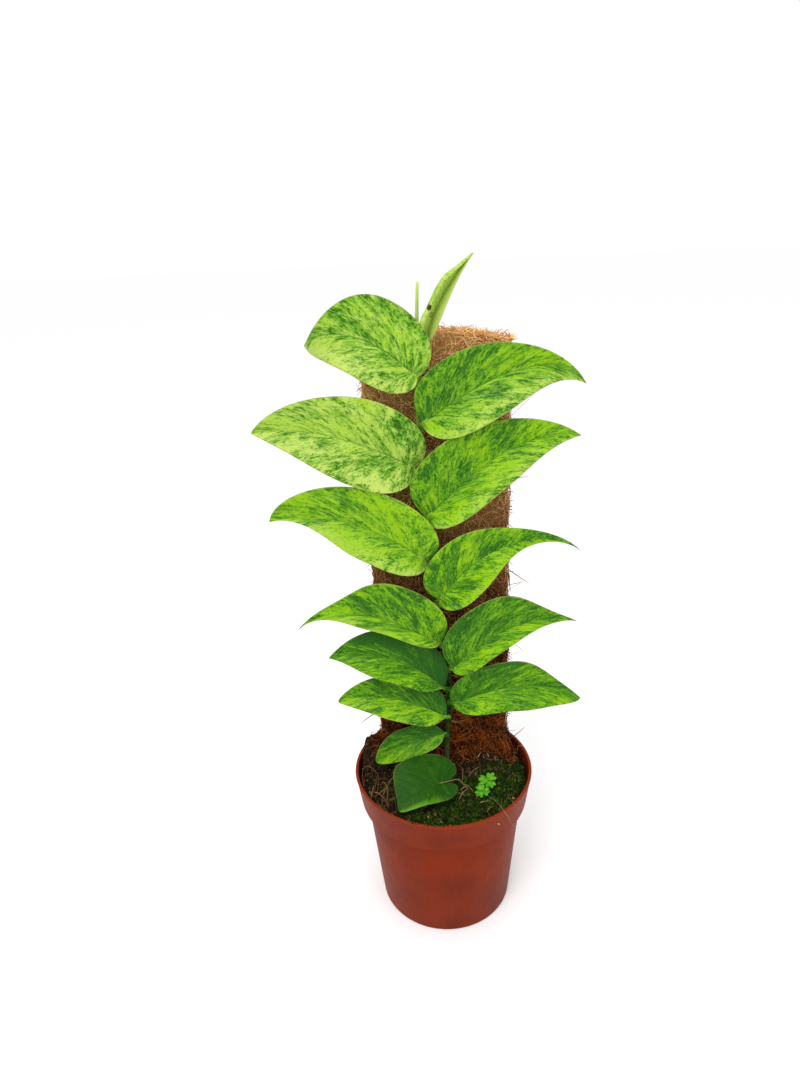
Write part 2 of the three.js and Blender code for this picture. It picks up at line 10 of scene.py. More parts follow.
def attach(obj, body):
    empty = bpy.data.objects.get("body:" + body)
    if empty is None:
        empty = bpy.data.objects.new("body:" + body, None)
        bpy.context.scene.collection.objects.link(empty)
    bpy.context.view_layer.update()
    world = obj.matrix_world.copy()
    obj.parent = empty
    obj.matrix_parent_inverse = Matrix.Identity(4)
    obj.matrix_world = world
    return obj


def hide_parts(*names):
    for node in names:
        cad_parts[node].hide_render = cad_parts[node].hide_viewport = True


mm = 0.001
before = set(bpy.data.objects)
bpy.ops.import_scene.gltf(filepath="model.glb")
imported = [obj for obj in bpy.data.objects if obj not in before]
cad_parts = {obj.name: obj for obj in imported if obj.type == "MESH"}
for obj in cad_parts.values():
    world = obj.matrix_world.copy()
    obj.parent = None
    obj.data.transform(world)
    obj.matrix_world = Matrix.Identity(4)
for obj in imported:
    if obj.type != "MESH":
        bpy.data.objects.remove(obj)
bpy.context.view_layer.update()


# Camera: the photograph's own place, heading and lens, solved for an image of 800 by 1065 pixels.
camera = {
    "place": (-24.2, -458.2, 482.2), "down": 21.8, "roll": -2.6,
    "focalPixels": 755, "imageWidth": 800, "imageHeight": 1065, "sensor": 36,
}


def addCamera():
    bpy.ops.object.camera_add()
    lens = bpy.context.object
    turn = Matrix.Rotation(math.radians(90 - camera["down"]), 4, "X")
    roll = Matrix.Rotation(math.radians(camera["roll"]), 4, "Z")
    lens.matrix_world = Matrix.Translation(Vector(camera["place"]) * mm) @ turn @ roll
    lens.data.sensor_width = camera["sensor"]
    lens.data.lens = camera["focalPixels"] / camera["imageHeight"] * camera["sensor"]
    lens.data.clip_start = 0.01
    bpy.context.scene.camera = lens
    return lens.matrix_world.to_3x3()


cameraTurn = addCamera()
eye = np.array(camera["place"])
print("camera placed")


# The way from the camera through a pixel of the photograph, in the part's own directions.
def pixelRay(across, down):
    middleX, middleY = camera["imageWidth"] / 2, camera["imageHeight"] / 2
    local = Vector((across - middleX, middleY - down, -camera["focalPixels"]))
    return np.array((cameraTurn @ local).normalized())


# The place that a pixel of the photograph shows: on a level plane, on the soil, on the outside of the
# pot's band, or on a finished piece.
def onLevel(pixel, height):
    ray = pixelRay(*pixel)
    return eye + ray * (height - eye[2]) / ray[2]


def onGround(pixel, above=0.0):
    height = soil["level"]
    for _ in range(12):
        place = onLevel(pixel, height)
        height = float(groundHeight(place[0], place[1])) + above
    return place


def onBand(pixel):
    ray = pixelRay(*pixel)
    square = ray[:2] @ ray[:2]
    half = eye[:2] @ ray[:2]
    rest = eye[:2] @ eye[:2] - (pot["rimRadius"] + 0.3) ** 2
    return eye - ray * (half + math.sqrt(max(half * half - square * rest, 0))) / square


def onPiece(piece, pixel, width=1.2):
    ray = unit(pixelRay(*pixel))
    places = coordinates(piece)
    depth = (places - eye * mm) @ ray
    miss = np.linalg.norm(places - eye * mm - depth[:, None] * ray, axis=1)
    near = miss < np.min(miss) + width * mm
    return tuple(places[np.argmin(np.where(near, depth, np.inf))])


# Meshes

def deselect():
    bpy.ops.object.select_all(action="DESELECT")


def selectOnly(piece):
    deselect()
    piece.select_set(True)
    bpy.context.view_layer.objects.active = piece


def added(operator, **settings):
    deselect()
    operator(**settings)
    return bpy.context.object


def setMode(mode):
    bpy.ops.object.mode_set(mode=mode)


def coordinates(piece):
    flat = np.empty(len(piece.data.vertices) * 3)
    piece.data.vertices.foreach_get("co", flat)
    return flat.reshape(-1, 3)


def setCoordinates(piece, places):
    piece.data.vertices.foreach_set("co", np.ascontiguousarray(places, dtype=float).ravel())
    piece.data.update()


# One number or one vector for each vertex
def setAttribute(piece, name, values):
    kind, field = ("FLOAT", "value") if np.ndim(values) == 1 else ("FLOAT_VECTOR", "vector")
    layer = piece.data.attributes.new(name, kind, "POINT")
    layer.data.foreach_set(field, np.ascontiguousarray(values, dtype=float).ravel())


def apply(piece, kind, **settings):
    modifier = piece.modifiers.new(kind, kind)
    for name, value in settings.items():
        setattr(modifier, name, value)
    bpy.context.view_layer.objects.active = piece
    bpy.ops.object.modifier_apply(modifier=modifier.name)


def cutAway(piece, cutter):
    apply(piece, "BOOLEAN", operation="DIFFERENCE", object=cutter, solver="EXACT")
    bpy.data.objects.remove(cutter)


# Welds vertices that coincide and turns every face outward.
def closed(piece, weld=1e-6):
    selectOnly(piece)
    setMode("EDIT")
    bpy.ops.mesh.select_all(action="SELECT")
    bpy.ops.mesh.remove_doubles(threshold=weld)
    bpy.ops.mesh.normals_make_consistent(inside=False)
    setMode("OBJECT")
    return piece


def smooth(piece, angle=None):
    selectOnly(piece)
    if angle:
        bpy.ops.object.shade_smooth_by_angle(angle=math.radians(angle))
    else:
        bpy.ops.object.shade_smooth()
    return piece


# A grid whose two ways run from 0 to 1, bent to its place by a function of both.
def bentGrid(name, columns, rows, place):
    piece = added(bpy.ops.mesh.primitive_grid_add, x_subdivisions=columns, y_subdivisions=rows, size=1)
    piece.name = piece.data.name = name
    flat = coordinates(piece)
    u, v = np.clip(flat[:, 0] + 0.5, 0, 1), np.clip(flat[:, 1] + 0.5, 0, 1)
    setCoordinates(piece, place(u, v) * mm)
    return piece, u, v


def joined(name, pieces):
    deselect()
    for piece in pieces:
        piece.select_set(True)
    bpy.context.view_layer.objects.active = pieces[0]
    bpy.ops.object.join()
    pieces[0].name = pieces[0].data.name = name
    return pieces[0]


# Many thin strands, each by its places, its radius there and the tone that colours it.
def strands(name, rows):
    piece = added(bpy.ops.curve.primitive_nurbs_path_add)
    piece.name = name
    curve = piece.data
    curve.splines.clear()
    curve.bevel_depth = mm
    curve.bevel_resolution = 0
    curve.use_fill_caps = True
    for path, radius, _ in rows:
        spline = curve.splines.new("POLY")
        spline.points.add(len(path) - 1)
        spline.points.foreach_set("co", np.c_[np.asarray(path) * mm, np.ones(len(path))].ravel())
        spline.points.foreach_set("radius", np.broadcast_to(radius, len(path)).astype(float))
    bpy.ops.object.convert(target="MESH")
    piece = bpy.context.object
    tones = [tone for path, radius, tone in rows]
    setAttribute(piece, "tone", np.repeat(tones, len(piece.data.vertices) // len(rows)))
    return piece


# Copies of one small closed shape, each turned, stretched and set down by its own matrix.
def scattered(name, shape, matrices, tones):
    corners = np.c_[coordinates(shape), np.ones(len(shape.data.vertices))]
    faces = np.array([list(face.vertices) for face in shape.data.polygons])
    places = np.einsum("nij,kj->nki", np.array(matrices), corners)[:, :, :3].reshape(-1, 3)
    first = len(corners) * np.arange(len(matrices))[:, None, None]
    every = (faces[None] + first).reshape(-1, faces.shape[1])
    mesh = bpy.data.meshes.new(name)
    mesh.from_pydata(places.tolist(), [], every.tolist())
    piece = bpy.data.objects.new(name, mesh)
    bpy.context.scene.collection.objects.link(piece)
    setAttribute(piece, "tone", np.repeat(tones, len(corners)))
    bpy.data.objects.remove(shape)
    return piece


def unit(vectors):
    return vectors / np.linalg.norm(vectors, axis=-1, keepdims=True)


def wayAlong(line, power=1):
    return np.r_[0, np.cumsum(np.linalg.norm(np.diff(line, axis=0), axis=1) ** power)]


# Rows of a table, read at places between them
def rowsAt(rows, at):
    low = np.minimum(at.astype(int), len(rows) - 2)
    share = (at - low)[:, None]
    return rows[low] * (1 - share) + rows[low + 1] * share


def blend(t, start, end, first, second):
    return (end - t) / (end - start) * first + (t - start) / (end - start) * second


# A smooth line through a few points, as evenly spaced places.
def smoothLine(points, count):
    points = np.asarray(points, float)
    ends = np.vstack([2 * points[0] - points[1], points, 2 * points[-1] - points[-2]])
    knots = wayAlong(ends, 0.5)
    places = []
    for i in range(1, len(ends) - 2):
        t = np.linspace(knots[i], knots[i + 1], 24, endpoint=i == len(ends) - 3)[:, None]
        a, b, c, d = ends[i - 1:i + 3]
        ta, tb, tc, td = knots[i - 1:i + 3]
        ab, bc, cd = blend(t, ta, tb, a, b), blend(t, tb, tc, b, c), blend(t, tc, td, c, d)
        places.append(blend(t, tb, tc, blend(t, ta, tc, ab, bc), blend(t, tb, td, bc, cd)))
    places = np.vstack(places)
    way = wayAlong(places)
    even = np.linspace(0, way[-1], count)
    return np.c_[[np.interp(even, way, places[:, k]) for k in range(3)]].T


# A round or flattened rod along a line, with its half width and half depth at shares of its length;
# facing says which way its thin side looks.
def rod(name, line, share, width, depth, facing, around=14, groove=0):
    side = unit(np.cross(unit(np.gradient(line, axis=0)), facing))
    front = np.cross(side, unit(np.gradient(line, axis=0)))
    last = len(line) - 1

    def place(u, v):
        angle = 2 * np.pi * v
        cap = np.sqrt(np.clip(1 - (1 - np.minimum(np.minimum(u, 1 - u) * last / 1.5, 1)) ** 2, 0, 1))
        hollow = 1 - groove * np.exp(-((angle - np.pi / 2) / 0.5) ** 2)
        across = (np.interp(u, share, width) * cap * np.cos(angle))[:, None]
        outward = (np.interp(u, share, depth) * cap * np.sin(angle) * hollow)[:, None]
        return rowsAt(line, u * last) + rowsAt(side, u * last) * across + rowsAt(front, u * last) * outward

    return bentGrid(name, last, around, place)


# Shader maths

def screenColour(red, green, blue):
    linear = [((c / 255 + 0.055) / 1.055) ** 2.4 if c > 10 else c / 3294.6 for c in (red, green, blue)]
    return (*linear, 1)


class Value:
    def __init__(self, tree, socket=None):
        self.tree = tree
        self.socket = socket

    def make(self, kind, settings, inputs, output=0):
        node = self.tree.nodes.new(kind)
        for name, setting in settings.items():
            setattr(node, name, setting)
        for name, given in inputs.items():
            if isinstance(given, Value):
                self.tree.links.new(given.socket, node.inputs[name])
            else:
                node.inputs[name].default_value = given
        return Value(self.tree, node.outputs[output])

    def calc(self, operation, *given):
        return self.make("ShaderNodeMath", {"operation": operation}, dict(enumerate(given)))

    def __add__(self, other):
        return self.calc("ADD", self, other)

    def __sub__(self, other):
        return self.calc("SUBTRACT", self, other)

    def __rsub__(self, other):
        return self.calc("SUBTRACT", other, self)

    def __mul__(self, other):
        return self.calc("MULTIPLY", self, other)

    def __pow__(self, other):
        return self.calc("POWER", self, other)

    __radd__ = __add__
    __rmul__ = __mul__

    def absolute(self):
        return self.calc("ABSOLUTE", self)

    # 0 below low, 1 above high, with a soft way between
    def between(self, low, high):
        return self.make("ShaderNodeMapRange", {"interpolation_type": "SMOOTHSTEP"},
                         {"Value": self, "From Min": low, "From Max": high})

    # Each colour is another mix, or red, green and blue from 0 to 255 as a screen shows them.
    def mix(self, first, second):
        a, b = (screenColour(*tint) if isinstance(tint, tuple) else tint for tint in (first, second))
        return self.make("ShaderNodeMix", {"data_type": "RGBA"}, {0: self, 6: a, 7: b}, output=2)

    def split(self, axis):
        return self.make("ShaderNodeSeparateXYZ", {}, {0: self}, output=axis)

    def stretched(self, x, y, z):
        return self.make("ShaderNodeVectorMath", {"operation": "MULTIPLY"}, {0: self, 1: (x, y, z)})

    def distanceTo(self, centre):
        return self.make("ShaderNodeVectorMath", {"operation": "DISTANCE"}, {0: self, 1: centre},
                         output="Value")

    def mottle(self, size, detail=2, roughness=0.5, distortion=0.0):
        return self.make("ShaderNodeTexNoise", {}, {
            "Vector": self, "Scale": 1 / (size * mm), "Detail": detail, "Roughness": roughness,
            "Distortion": distortion})

    def bump(self, strength, depth):
        return self.make("ShaderNodeBump", {}, {
            "Height": self, "Strength": strength, "Distance": depth * mm})

    def attribute(self, name, output="Fac"):
        return self.make("ShaderNodeAttribute", {"attribute_name": name}, {}, output=output)


def shaderInputs(finish):
    return finish.node_tree.nodes["Principled BSDF"].inputs


def newFinish(name, shine=0.1):
    finish = bpy.data.materials.new(name)
    finish.use_nodes = True
    shaderInputs(finish)["Specular IOR Level"].default_value = shine
    return finish, Value(finish.node_tree).make("ShaderNodeTexCoord", {}, {}, output="Object")


def connected(finish, colour, roughness, bump=None):
    for socket, value in (("Base Color", colour), ("Roughness", roughness), ("Normal", bump)):
        if value is not None:
            finish.node_tree.links.new(value.socket, shaderInputs(finish)[socket])
    return finish


# Finishes that run from a dark colour to a light one by each strand's or grain's own tone and by a fine
# noise: the noise, the tone's power, the shares of tone and noise and what is added, the two colours, the
# roughness and the noise's share in it, and the bump.
tonedLooks = {
    "root bark": ((1.5, 3, 0.6), 1, (0.7, 0.5, -0.1), (58, 34, 18), (158, 116, 72), (0.65, 0.25), (0.5, 0.2)),
    "soil crumb": ((0.9, 3, 0.7), 3, (0.9, 0.3, -0.1), (26, 20, 11), (116, 88, 54), (0.8, 0.2), (0.6, 0.4)),
    "moss leaf": ((3, 2), 3, (0.9, 0.35, -0.12), (16, 36, 5), (90, 130, 36), (0.6, 0.2), None),
    "dry straw": ((1.2, 3, 0.6), 1, (1, 0.4, -0.2), (84, 50, 28), (204, 172, 128), (0.55, 0.25), (0.4, 0.2)),
}


def tonedFinish(name):
    size, power, (toneShare, grainShare, more), dark, light, (rough, roughShare), relief = tonedLooks[name]
    finish, place = newFinish(name)
    grain = place.mottle(*size)
    tone = place.attribute("tone") ** power
    colour = (tone * toneShare + grain * grainShare + more).mix(dark, light)
    return connected(finish, colour, grain * roughShare + rough, grain.bump(*relief) if relief else None)


def dress(piece, finish, slot, *nodes):
    piece.data.materials.clear()
    piece.data.materials.append(finish)
    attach(piece, "root")
    if nodes:
        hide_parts(*nodes)


# Pot

pot = {
    "height": 112, "rimRadius": 65, "bandFoot": 88, "bandFootRadius": 61.6, "waistRadius": 57.6,
    "footRadius": 49, "wall": 1.8, "floor": 2.2, "sides": 160, "creaseAngle": 32,
    "drainHoles": 8, "drainCircle": 34, "drainRadius": 3.5, "drillDepth": 12,
    # The lip colour makes both the painted highlight along the top of the lip and the pale scuffs of real
    # wear.
    "body": (124, 38, 6), "shade": (96, 29, 4), "lip": (134, 50, 18),
    "dirt": (40, 28, 16),
}


def innerWall(height):
    bandRise = (height - pot["bandFoot"]) / (pot["height"] - pot["bandFoot"])
    upper = pot["bandFootRadius"] + (pot["rimRadius"] - pot["bandFootRadius"]) * bandRise
    lower = pot["footRadius"] + (pot["waistRadius"] - pot["footRadius"]) * height / pot["bandFoot"]
    return np.where(np.asarray(height) > pot["bandFoot"], upper, lower) - pot["wall"]


def makePot():
    foot, waist, band, rim, bandFoot, top, floor = (pot[k] for k in (
        "footRadius", "waistRadius", "bandFootRadius", "rimRadius", "bandFoot", "height", "floor"))
    # The section, as radius and height: up the outside, over the rolled lip and down the inside.
    profile = [
        (foot - 1.6, 0), (foot - 0.5, 0.35), (foot, 1.4), (waist, bandFoot - 0.3), (waist + 0.3, bandFoot),
        (band - 0.7, bandFoot), (band - 0.1, bandFoot + 0.25), (band + 0.1, bandFoot + 0.9),
        (rim - 0.1, top - 1.3), (rim + 0.2, top - 0.7), (rim, top - 0.15), (rim - 0.5, top),
        (rim - pot["wall"] + 0.3, top), (rim - pot["wall"] - 0.1, top - 0.3),
    ]
    profile += [(float(innerWall(height)), height) for height in (top - 1.2, bandFoot + 2, bandFoot, floor)]
    profile.append((2, floor))
    piece = added(bpy.ops.mesh.primitive_circle_add, vertices=pot["sides"], radius=profile[0][0] * mm,
                  fill_type="NGON")
    piece.name = piece.data.name = "pot_body"
    setMode("EDIT")
    bpy.ops.mesh.select_all(action="SELECT")
    bpy.ops.mesh.region_to_loop()
    for (radius, height), (nextRadius, nextHeight) in zip(profile, profile[1:]):
        bpy.ops.mesh.extrude_edges_move(TRANSFORM_OT_translate={"value": (0, 0, (nextHeight - height) * mm)})
        share = nextRadius / radius
        bpy.ops.transform.resize(value=(share, share, 1))
    bpy.ops.mesh.merge(type="CENTER")
    bpy.ops.mesh.select_all(action="SELECT")
    bpy.ops.mesh.normals_make_consistent(inside=False)
    setMode("OBJECT")
    for i in range(pot["drainHoles"]):
        angle = 2 * math.pi * i / pot["drainHoles"]
        place = (pot["drainCircle"] * mm * math.cos(angle), pot["drainCircle"] * mm * math.sin(angle), 0)
        drill = added(bpy.ops.mesh.primitive_cylinder_add, vertices=24, radius=pot["drainRadius"] * mm,
                      depth=pot["drillDepth"] * mm, location=place)
        cutAway(piece, drill)
    x, y, z = coordinates(piece).T / mm
    setAttribute(piece, "within", (np.hypot(x, y) < innerWall(z) + 0.5) & (z > 1))
    return smooth(piece, pot["creaseAngle"])


def potFinish():
    finish, place = newFinish("terracotta plastic", shine=0.06)
    height = place.split(2)
    cloudy = place.mottle(30, 3, 0.6)
    streak = place.stretched(1, 1, 0.12).mottle(2.2, 2, 0.6)
    scuff = place.mottle(1.6, 4, 0.7).between(0.6, 0.72)
    # Painted highlight: the top of the rolled lip is lightened towards the lip colour.
    lipHighlight = height.between((pot["height"] - 1.9) * mm, (pot["height"] - 0.5) * mm)
    colour = (cloudy.between(0.35, 0.7) * 0.6 + streak * 0.3).mix(pot["body"], pot["shade"])
    colour = (lipHighlight * 0.75).mix(colour, pot["lip"])
    colour = (scuff * 0.35).mix(colour, pot["lip"])
    # Damp soil has marked the inside of the wall.
    below = 1 - height.between((pot["height"] - 6) * mm, (pot["height"] - 1) * mm)
    grime = place.attribute("within") * below * place.mottle(4, 4, 0.65).between(0.2, 0.6)
    colour = (grime * 0.9).mix(colour, pot["dirt"])
    return connected(finish, colour, streak * 0.16 + grime * 0.3 + 0.42,
                     (cloudy * 0.4 + streak * 0.15 + scuff * 0.4).bump(0.25, 0.25))


# Soil: the solid's crumbly top with finer crumb, a heap of coir at the left and moss elsewhere. A heap is
# its middle, its height and its spread; the hole that the board stands in is its middle, width and depth.
soil = {
    "level": 102.5, "crumb": 1.1, "floor": 2.5, "clear": 0.5, "stepClear": 9, "rings": 96, "sectors": 200,
    "topShare": 0.86, "wallShare": 0.97,
    "heaps": ((-53, 19, 23, 12.5), (-30, 4, 6, 14), (34, 8, 8, 13), (8, -18, 3, 16)),
    "fineCrumb": 1.5, "roughSize": 4.5, "lumpSize": 2.1,
    "hole": (3, 27.6, 96, 25), "holeMiddle": 88, "holeHeight": 84, "holeCorner": 11,
    "dark": (24, 17, 9), "brown": (66, 46, 25), "moss": (27, 49, 9),
    "speck": (150, 118, 80),
}


def groundHeight(x, y):
    crumb = np.sin(0.31 * x + 1.3) * np.cos(0.27 * y) + 0.6 * np.sin(0.53 * x - 0.47 * y)
    heaps = sum(tall * np.exp(-((x - middleX) ** 2 + (y - middleY) ** 2) / spread ** 2)
                for middleX, middleY, tall, spread in soil["heaps"])
    return soil["level"] + soil["crumb"] * crumb + heaps


def makeSoil():
    topShare, wallShare = soil["topShare"], soil["wallShare"]

    # The top, the side that follows the pot's wall, and the bottom
    def place(u, v):
        angle = 2 * np.pi * v
        edge = float(innerWall(soil["level"])) - soil["clear"]
        radius = edge * np.minimum(u / topShare, 1)
        down = np.clip((u - topShare) / (wallShare - topShare), 0, 1)
        inward = np.clip((u - wallShare) / (1 - wallShare), 0, 1)
        height = groundHeight(radius * np.cos(angle), radius * np.sin(angle))
        height = height + (soil["floor"] - height) * down
        side = (innerWall(height - soil["stepClear"]) - soil["clear"]) * (1 - inward)
        radius = np.where(u > topShare, np.minimum(side, edge), radius)
        return np.c_[radius * np.cos(angle), radius * np.sin(angle), height]

    piece, u, v = bentGrid("soil_bed", soil["rings"], soil["sectors"], place)
    places = coordinates(piece)
    for i in np.flatnonzero(u < topShare - 0.01):
        x, y, z = places[i] / mm
        rough = noise.fractal(Vector((x, y, 0)) / soil["roughSize"], 0.9, 2.1, 4)
        lump = max(noise.noise(Vector((x, y, 5)) / soil["lumpSize"]), 0)
        places[i, 2] += (rough * 0.7 + lump) * soil["fineCrumb"] * mm * min(1, (topShare - u[i]) * 12)
    setCoordinates(piece, places)
    closed(piece, 1e-5)
    x, y, width, thickness = soil["hole"]
    cutter = added(bpy.ops.mesh.primitive_cube_add, size=1, location=Vector((x, y, soil["holeMiddle"])) * mm)
    cutter.scale = (width * mm, thickness * mm, soil["holeHeight"] * mm)
    bpy.ops.object.transform_apply(location=True, rotation=True, scale=True)
    setMode("EDIT")
    bpy.ops.mesh.select_mode(type="EDGE")
    bpy.ops.mesh.select_all(action="DESELECT")
    setMode("OBJECT")
    heights = coordinates(cutter)[:, 2]
    for edge in cutter.data.edges:
        edge.select = abs(heights[edge.vertices[0]] - heights[edge.vertices[1]]) > mm
    setMode("EDIT")
    bpy.ops.mesh.bevel(offset=soil["holeCorner"] * mm, segments=6)
    setMode("OBJECT")
    cutAway(piece, cutter)
    return smooth(piece)


# Where moss grows: right of the middle and along the front, in patches; elsewhere bare crumb and coir.
def mossShare(x, y):
    reach = np.clip((x + 14 - 0.35 * y) / 22, 0, 1) * np.clip((0.35 * (x - 22) - y) / 9, 0, 1)
    front = np.clip((-32 - y) / 10, 0, 1) * np.clip((x + 44) / 16, 0, 1)
    patch = 0.5 + 0.5 * np.sin(0.19 * x + 2) * np.cos(0.23 * y + 0.6)
    left = 0.7 * np.exp(-((x + 33) ** 2 + (y + 20) ** 2) / 110)
    return np.clip(np.maximum(np.maximum(reach, 0.8 * front) * (0.55 + 0.6 * patch), left), 0, 1)


def soilFinish():
    finish, place = newFinish("potting soil")
    crumb = place.mottle(1.6, 5, 0.7)
    patch = place.mottle(9, 3, 0.6)
    fleck = place.mottle(0.8, 2, 0.6).between(0.64, 0.72)
    mossy = place.attribute("mossy") * (patch + crumb * 0.4).between(0.5, 0.8)
    colour = crumb.between(0.4, 0.75).mix(soil["dark"], soil["brown"])
    colour = (mossy * 0.85).mix(colour, soil["moss"])
    colour = (fleck * 0.3).mix(colour, soil["speck"])
    return connected(finish, colour, crumb * 0.15 + 0.85, (crumb + patch * 0.6).bump(0.8, 0.9))


# Board: the coir wrap, its fibres, and the plank inside.

board = {
    "x": 3, "y": 27.6, "width": 95, "footWidth": 66, "thickness": 24, "top": 423, "foot": 46,
    "shoulder": 96, "skirtHeight": 118, "skirtReach": 3, "skirtFade": (14, 8), "topFall": 7,
    "fallStart": -5, "fallDepth": 30, "lump": 0.7, "potClear": 2.2, "coreWidth": 54.8,
    "coreThickness": 10.8, "lipShare": 0.9, "coreShare": 0.94, "crown": 0.8, "rings": 150,
    "around": 120, "relief": 0.5,
    "light": (255, 212, 146), "dark": (192, 134, 78),
    # Colours near the soil, darker partly as damp coir and partly as painted shade, and the heights over
    # which the pale top gives way to them
    "dampShadedLight": (160, 84, 34), "dampShadedDark": (34, 14, 4), "dampShadeHeights": (165, 440),
    "plankLight": (120, 88, 56), "plankDark": (74, 50, 30),
}


def eased(share, power=0.55):
    return np.sign(share) * np.abs(share) ** power


def smoothstep(value, low, high):
    share = np.clip((value - low) / (high - low), 0, 1)
    return share * share * (3 - 2 * share)


# A place on the wrap by its way round and its height, a little further out by extra.
def boardPlace(angle, height, extra=0.0):
    thickness = board["thickness"] + 2 * extra
    low = smoothstep(height, board["foot"], board["shoulder"])
    width = board["footWidth"] + (board["width"] - board["footWidth"]) * low + 2 * extra
    fadeUp, fadeDown = board["skirtFade"]
    flare = board["skirtReach"] * smoothstep(board["skirtHeight"] - height, 0, fadeUp)
    flare = flare * smoothstep(height, board["shoulder"], board["shoulder"] + fadeDown)
    bump = (np.sin(5 * angle + height * 0.11) + np.sin(height * 0.23 - 3 * angle) - 2) / 2
    radius = thickness / 2 + bump * board["lump"] * (height > board["shoulder"]) + flare
    flat = np.clip(eased(np.cos(angle)) * 1.25, -1, 1) * (width - thickness) / 2
    x = board["x"] + flat + radius * np.cos(angle)
    y = board["y"] + radius * eased(np.sin(angle))
    within = innerWall(np.minimum(height, pot["height"])) - board["potClear"]
    pressed = np.where(height < pot["height"] + 4, np.minimum(1, within / np.hypot(x, y)), 1)
    return np.c_[x * pressed, y * pressed, height - topFall(x, height)]


# The top edge falls away to the right.
def topFall(x, height):
    share = np.maximum(0, x - board["fallStart"]) / (board["x"] + board["width"] / 2 - board["fallStart"])
    return board["topFall"] * share ** 2 * np.clip(1 - (board["top"] - height) / board["fallDepth"], 0, 1)


def makeCoir():
    lipShare, coreShare, tall = board["lipShare"], board["coreShare"], board["top"] - board["foot"]

    # Up the outside, over the top edge, and down inside round the plank
    def place(u, v):
        angle = 2 * np.pi * v
        height = board["foot"] + tall * np.minimum(u / lipShare, 1)
        square = np.clip(eased(np.c_[np.cos(angle), np.sin(angle)], 0.3) * 1.2, -1, 1)
        square = square * (board["coreWidth"] / 2, board["coreThickness"] / 2) + (board["x"], board["y"])
        over = np.clip((u - lipShare) / (coreShare - lipShare), 0, 1)[:, None]
        down = np.clip((u - coreShare) / (1 - coreShare), 0, 1)
        flat = boardPlace(angle, height)[:, :2] * (1 - over) + square * over
        crown = board["crown"] * np.sin(np.pi * over[:, 0])
        return np.c_[flat, height + crown - topFall(flat[:, 0], height) - tall * down]

    piece, u, v = bentGrid("coir_wrap", board["rings"], board["around"], place)
    places = coordinates(piece)
    middle = np.array([board["x"], board["y"]]) * mm
    for i in np.flatnonzero((u > 0.15) & (u < coreShare)):
        x, y, z = places[i] / mm
        rough = noise.fractal(Vector((x / 5, y / 5, z / 7)), 0.8, 2.1, 4) - 0.3
        places[i, :2] += unit(places[i, :2] - middle) * rough * board["relief"] * mm
    setCoordinates(piece, places)
    return smooth(closed(piece, 1e-5))


fibres = {
    "front": 6900, "back": 4400, "length": (8, 26), "radius": (0.13, 0.26), "curl": 0.16, "loose": 0.14,
    "lift": (0.45, 1.6), "stray": 4.5, "coarse": 0.3, "coarseRadius": (0.26, 0.4), "seed": 7,
    "taper": (0.5, 1, 0.95, 0.35), "bend": 0.9,
    "topWisps": 1300, "topDepth": (-0.7, 3), "topInset": 5, "topSpread": (1.6, 3.2, 4),
    "sideWisps": 460, "sideTurn": 0.5, "sideReach": (1, 5.5), "longReach": (8, 20), "longShare": 0.06,
    "footWisps": 900, "footTop": 126, "footReach": (1, 13), "footSpread": 4, "footBend": 2.4, "soilReach": 57,
}
fibrePoints = len(fibres["taper"])


# Distances round the wrap, and the angle at each.
def wayRound():
    angles = np.linspace(0, 2 * np.pi, 1441)
    return wayAlong(boardPlace(angles, np.full(angles.shape, 250.0))[:, :2]), angles


# Fibres lie every way on the wrap, curl, and lift off it here and there.
def fibrePaths(count, rng, share):
    way, angles = wayRound()
    lowest, highest = board["shoulder"] + 4, board["top"] - 1
    steps = np.linspace(0, 1, fibrePoints)
    paths = []
    for _ in range(count):
        length = rng.uniform(*fibres["length"]) * rng.uniform(0.6, 1)
        heading = rng.uniform(0, 2 * np.pi)
        step = length / (fibrePoints - 1)
        headings = heading + rng.normal(0, fibres["curl"]) * step * np.arange(fibrePoints)
        around = rng.uniform(*share) * way[-1] + np.r_[0, np.cumsum(step * np.cos(headings[1:]))]
        height = rng.uniform(lowest, highest) + np.r_[0, np.cumsum(step * np.sin(headings[1:]))]
        height = np.clip(height, board["shoulder"] + 2, board["top"] + rng.uniform(0, 1.5))
        angle = np.interp(around % way[-1], way, angles)
        # A fibre that would cross the seam of the angles is left out.
        if np.any(np.abs(np.diff(angle)) > 3):
            continue
        rest, rise = fibres["lift"]
        lift = rest + rise * rng.uniform(0, 1) ** 2 * np.sin(np.pi * steps)
        if rng.uniform() < fibres["loose"]:
            lift = lift + rng.uniform(0.5, fibres["stray"]) * steps ** 2
        paths.append(boardPlace(angle, height, lift))
    return paths


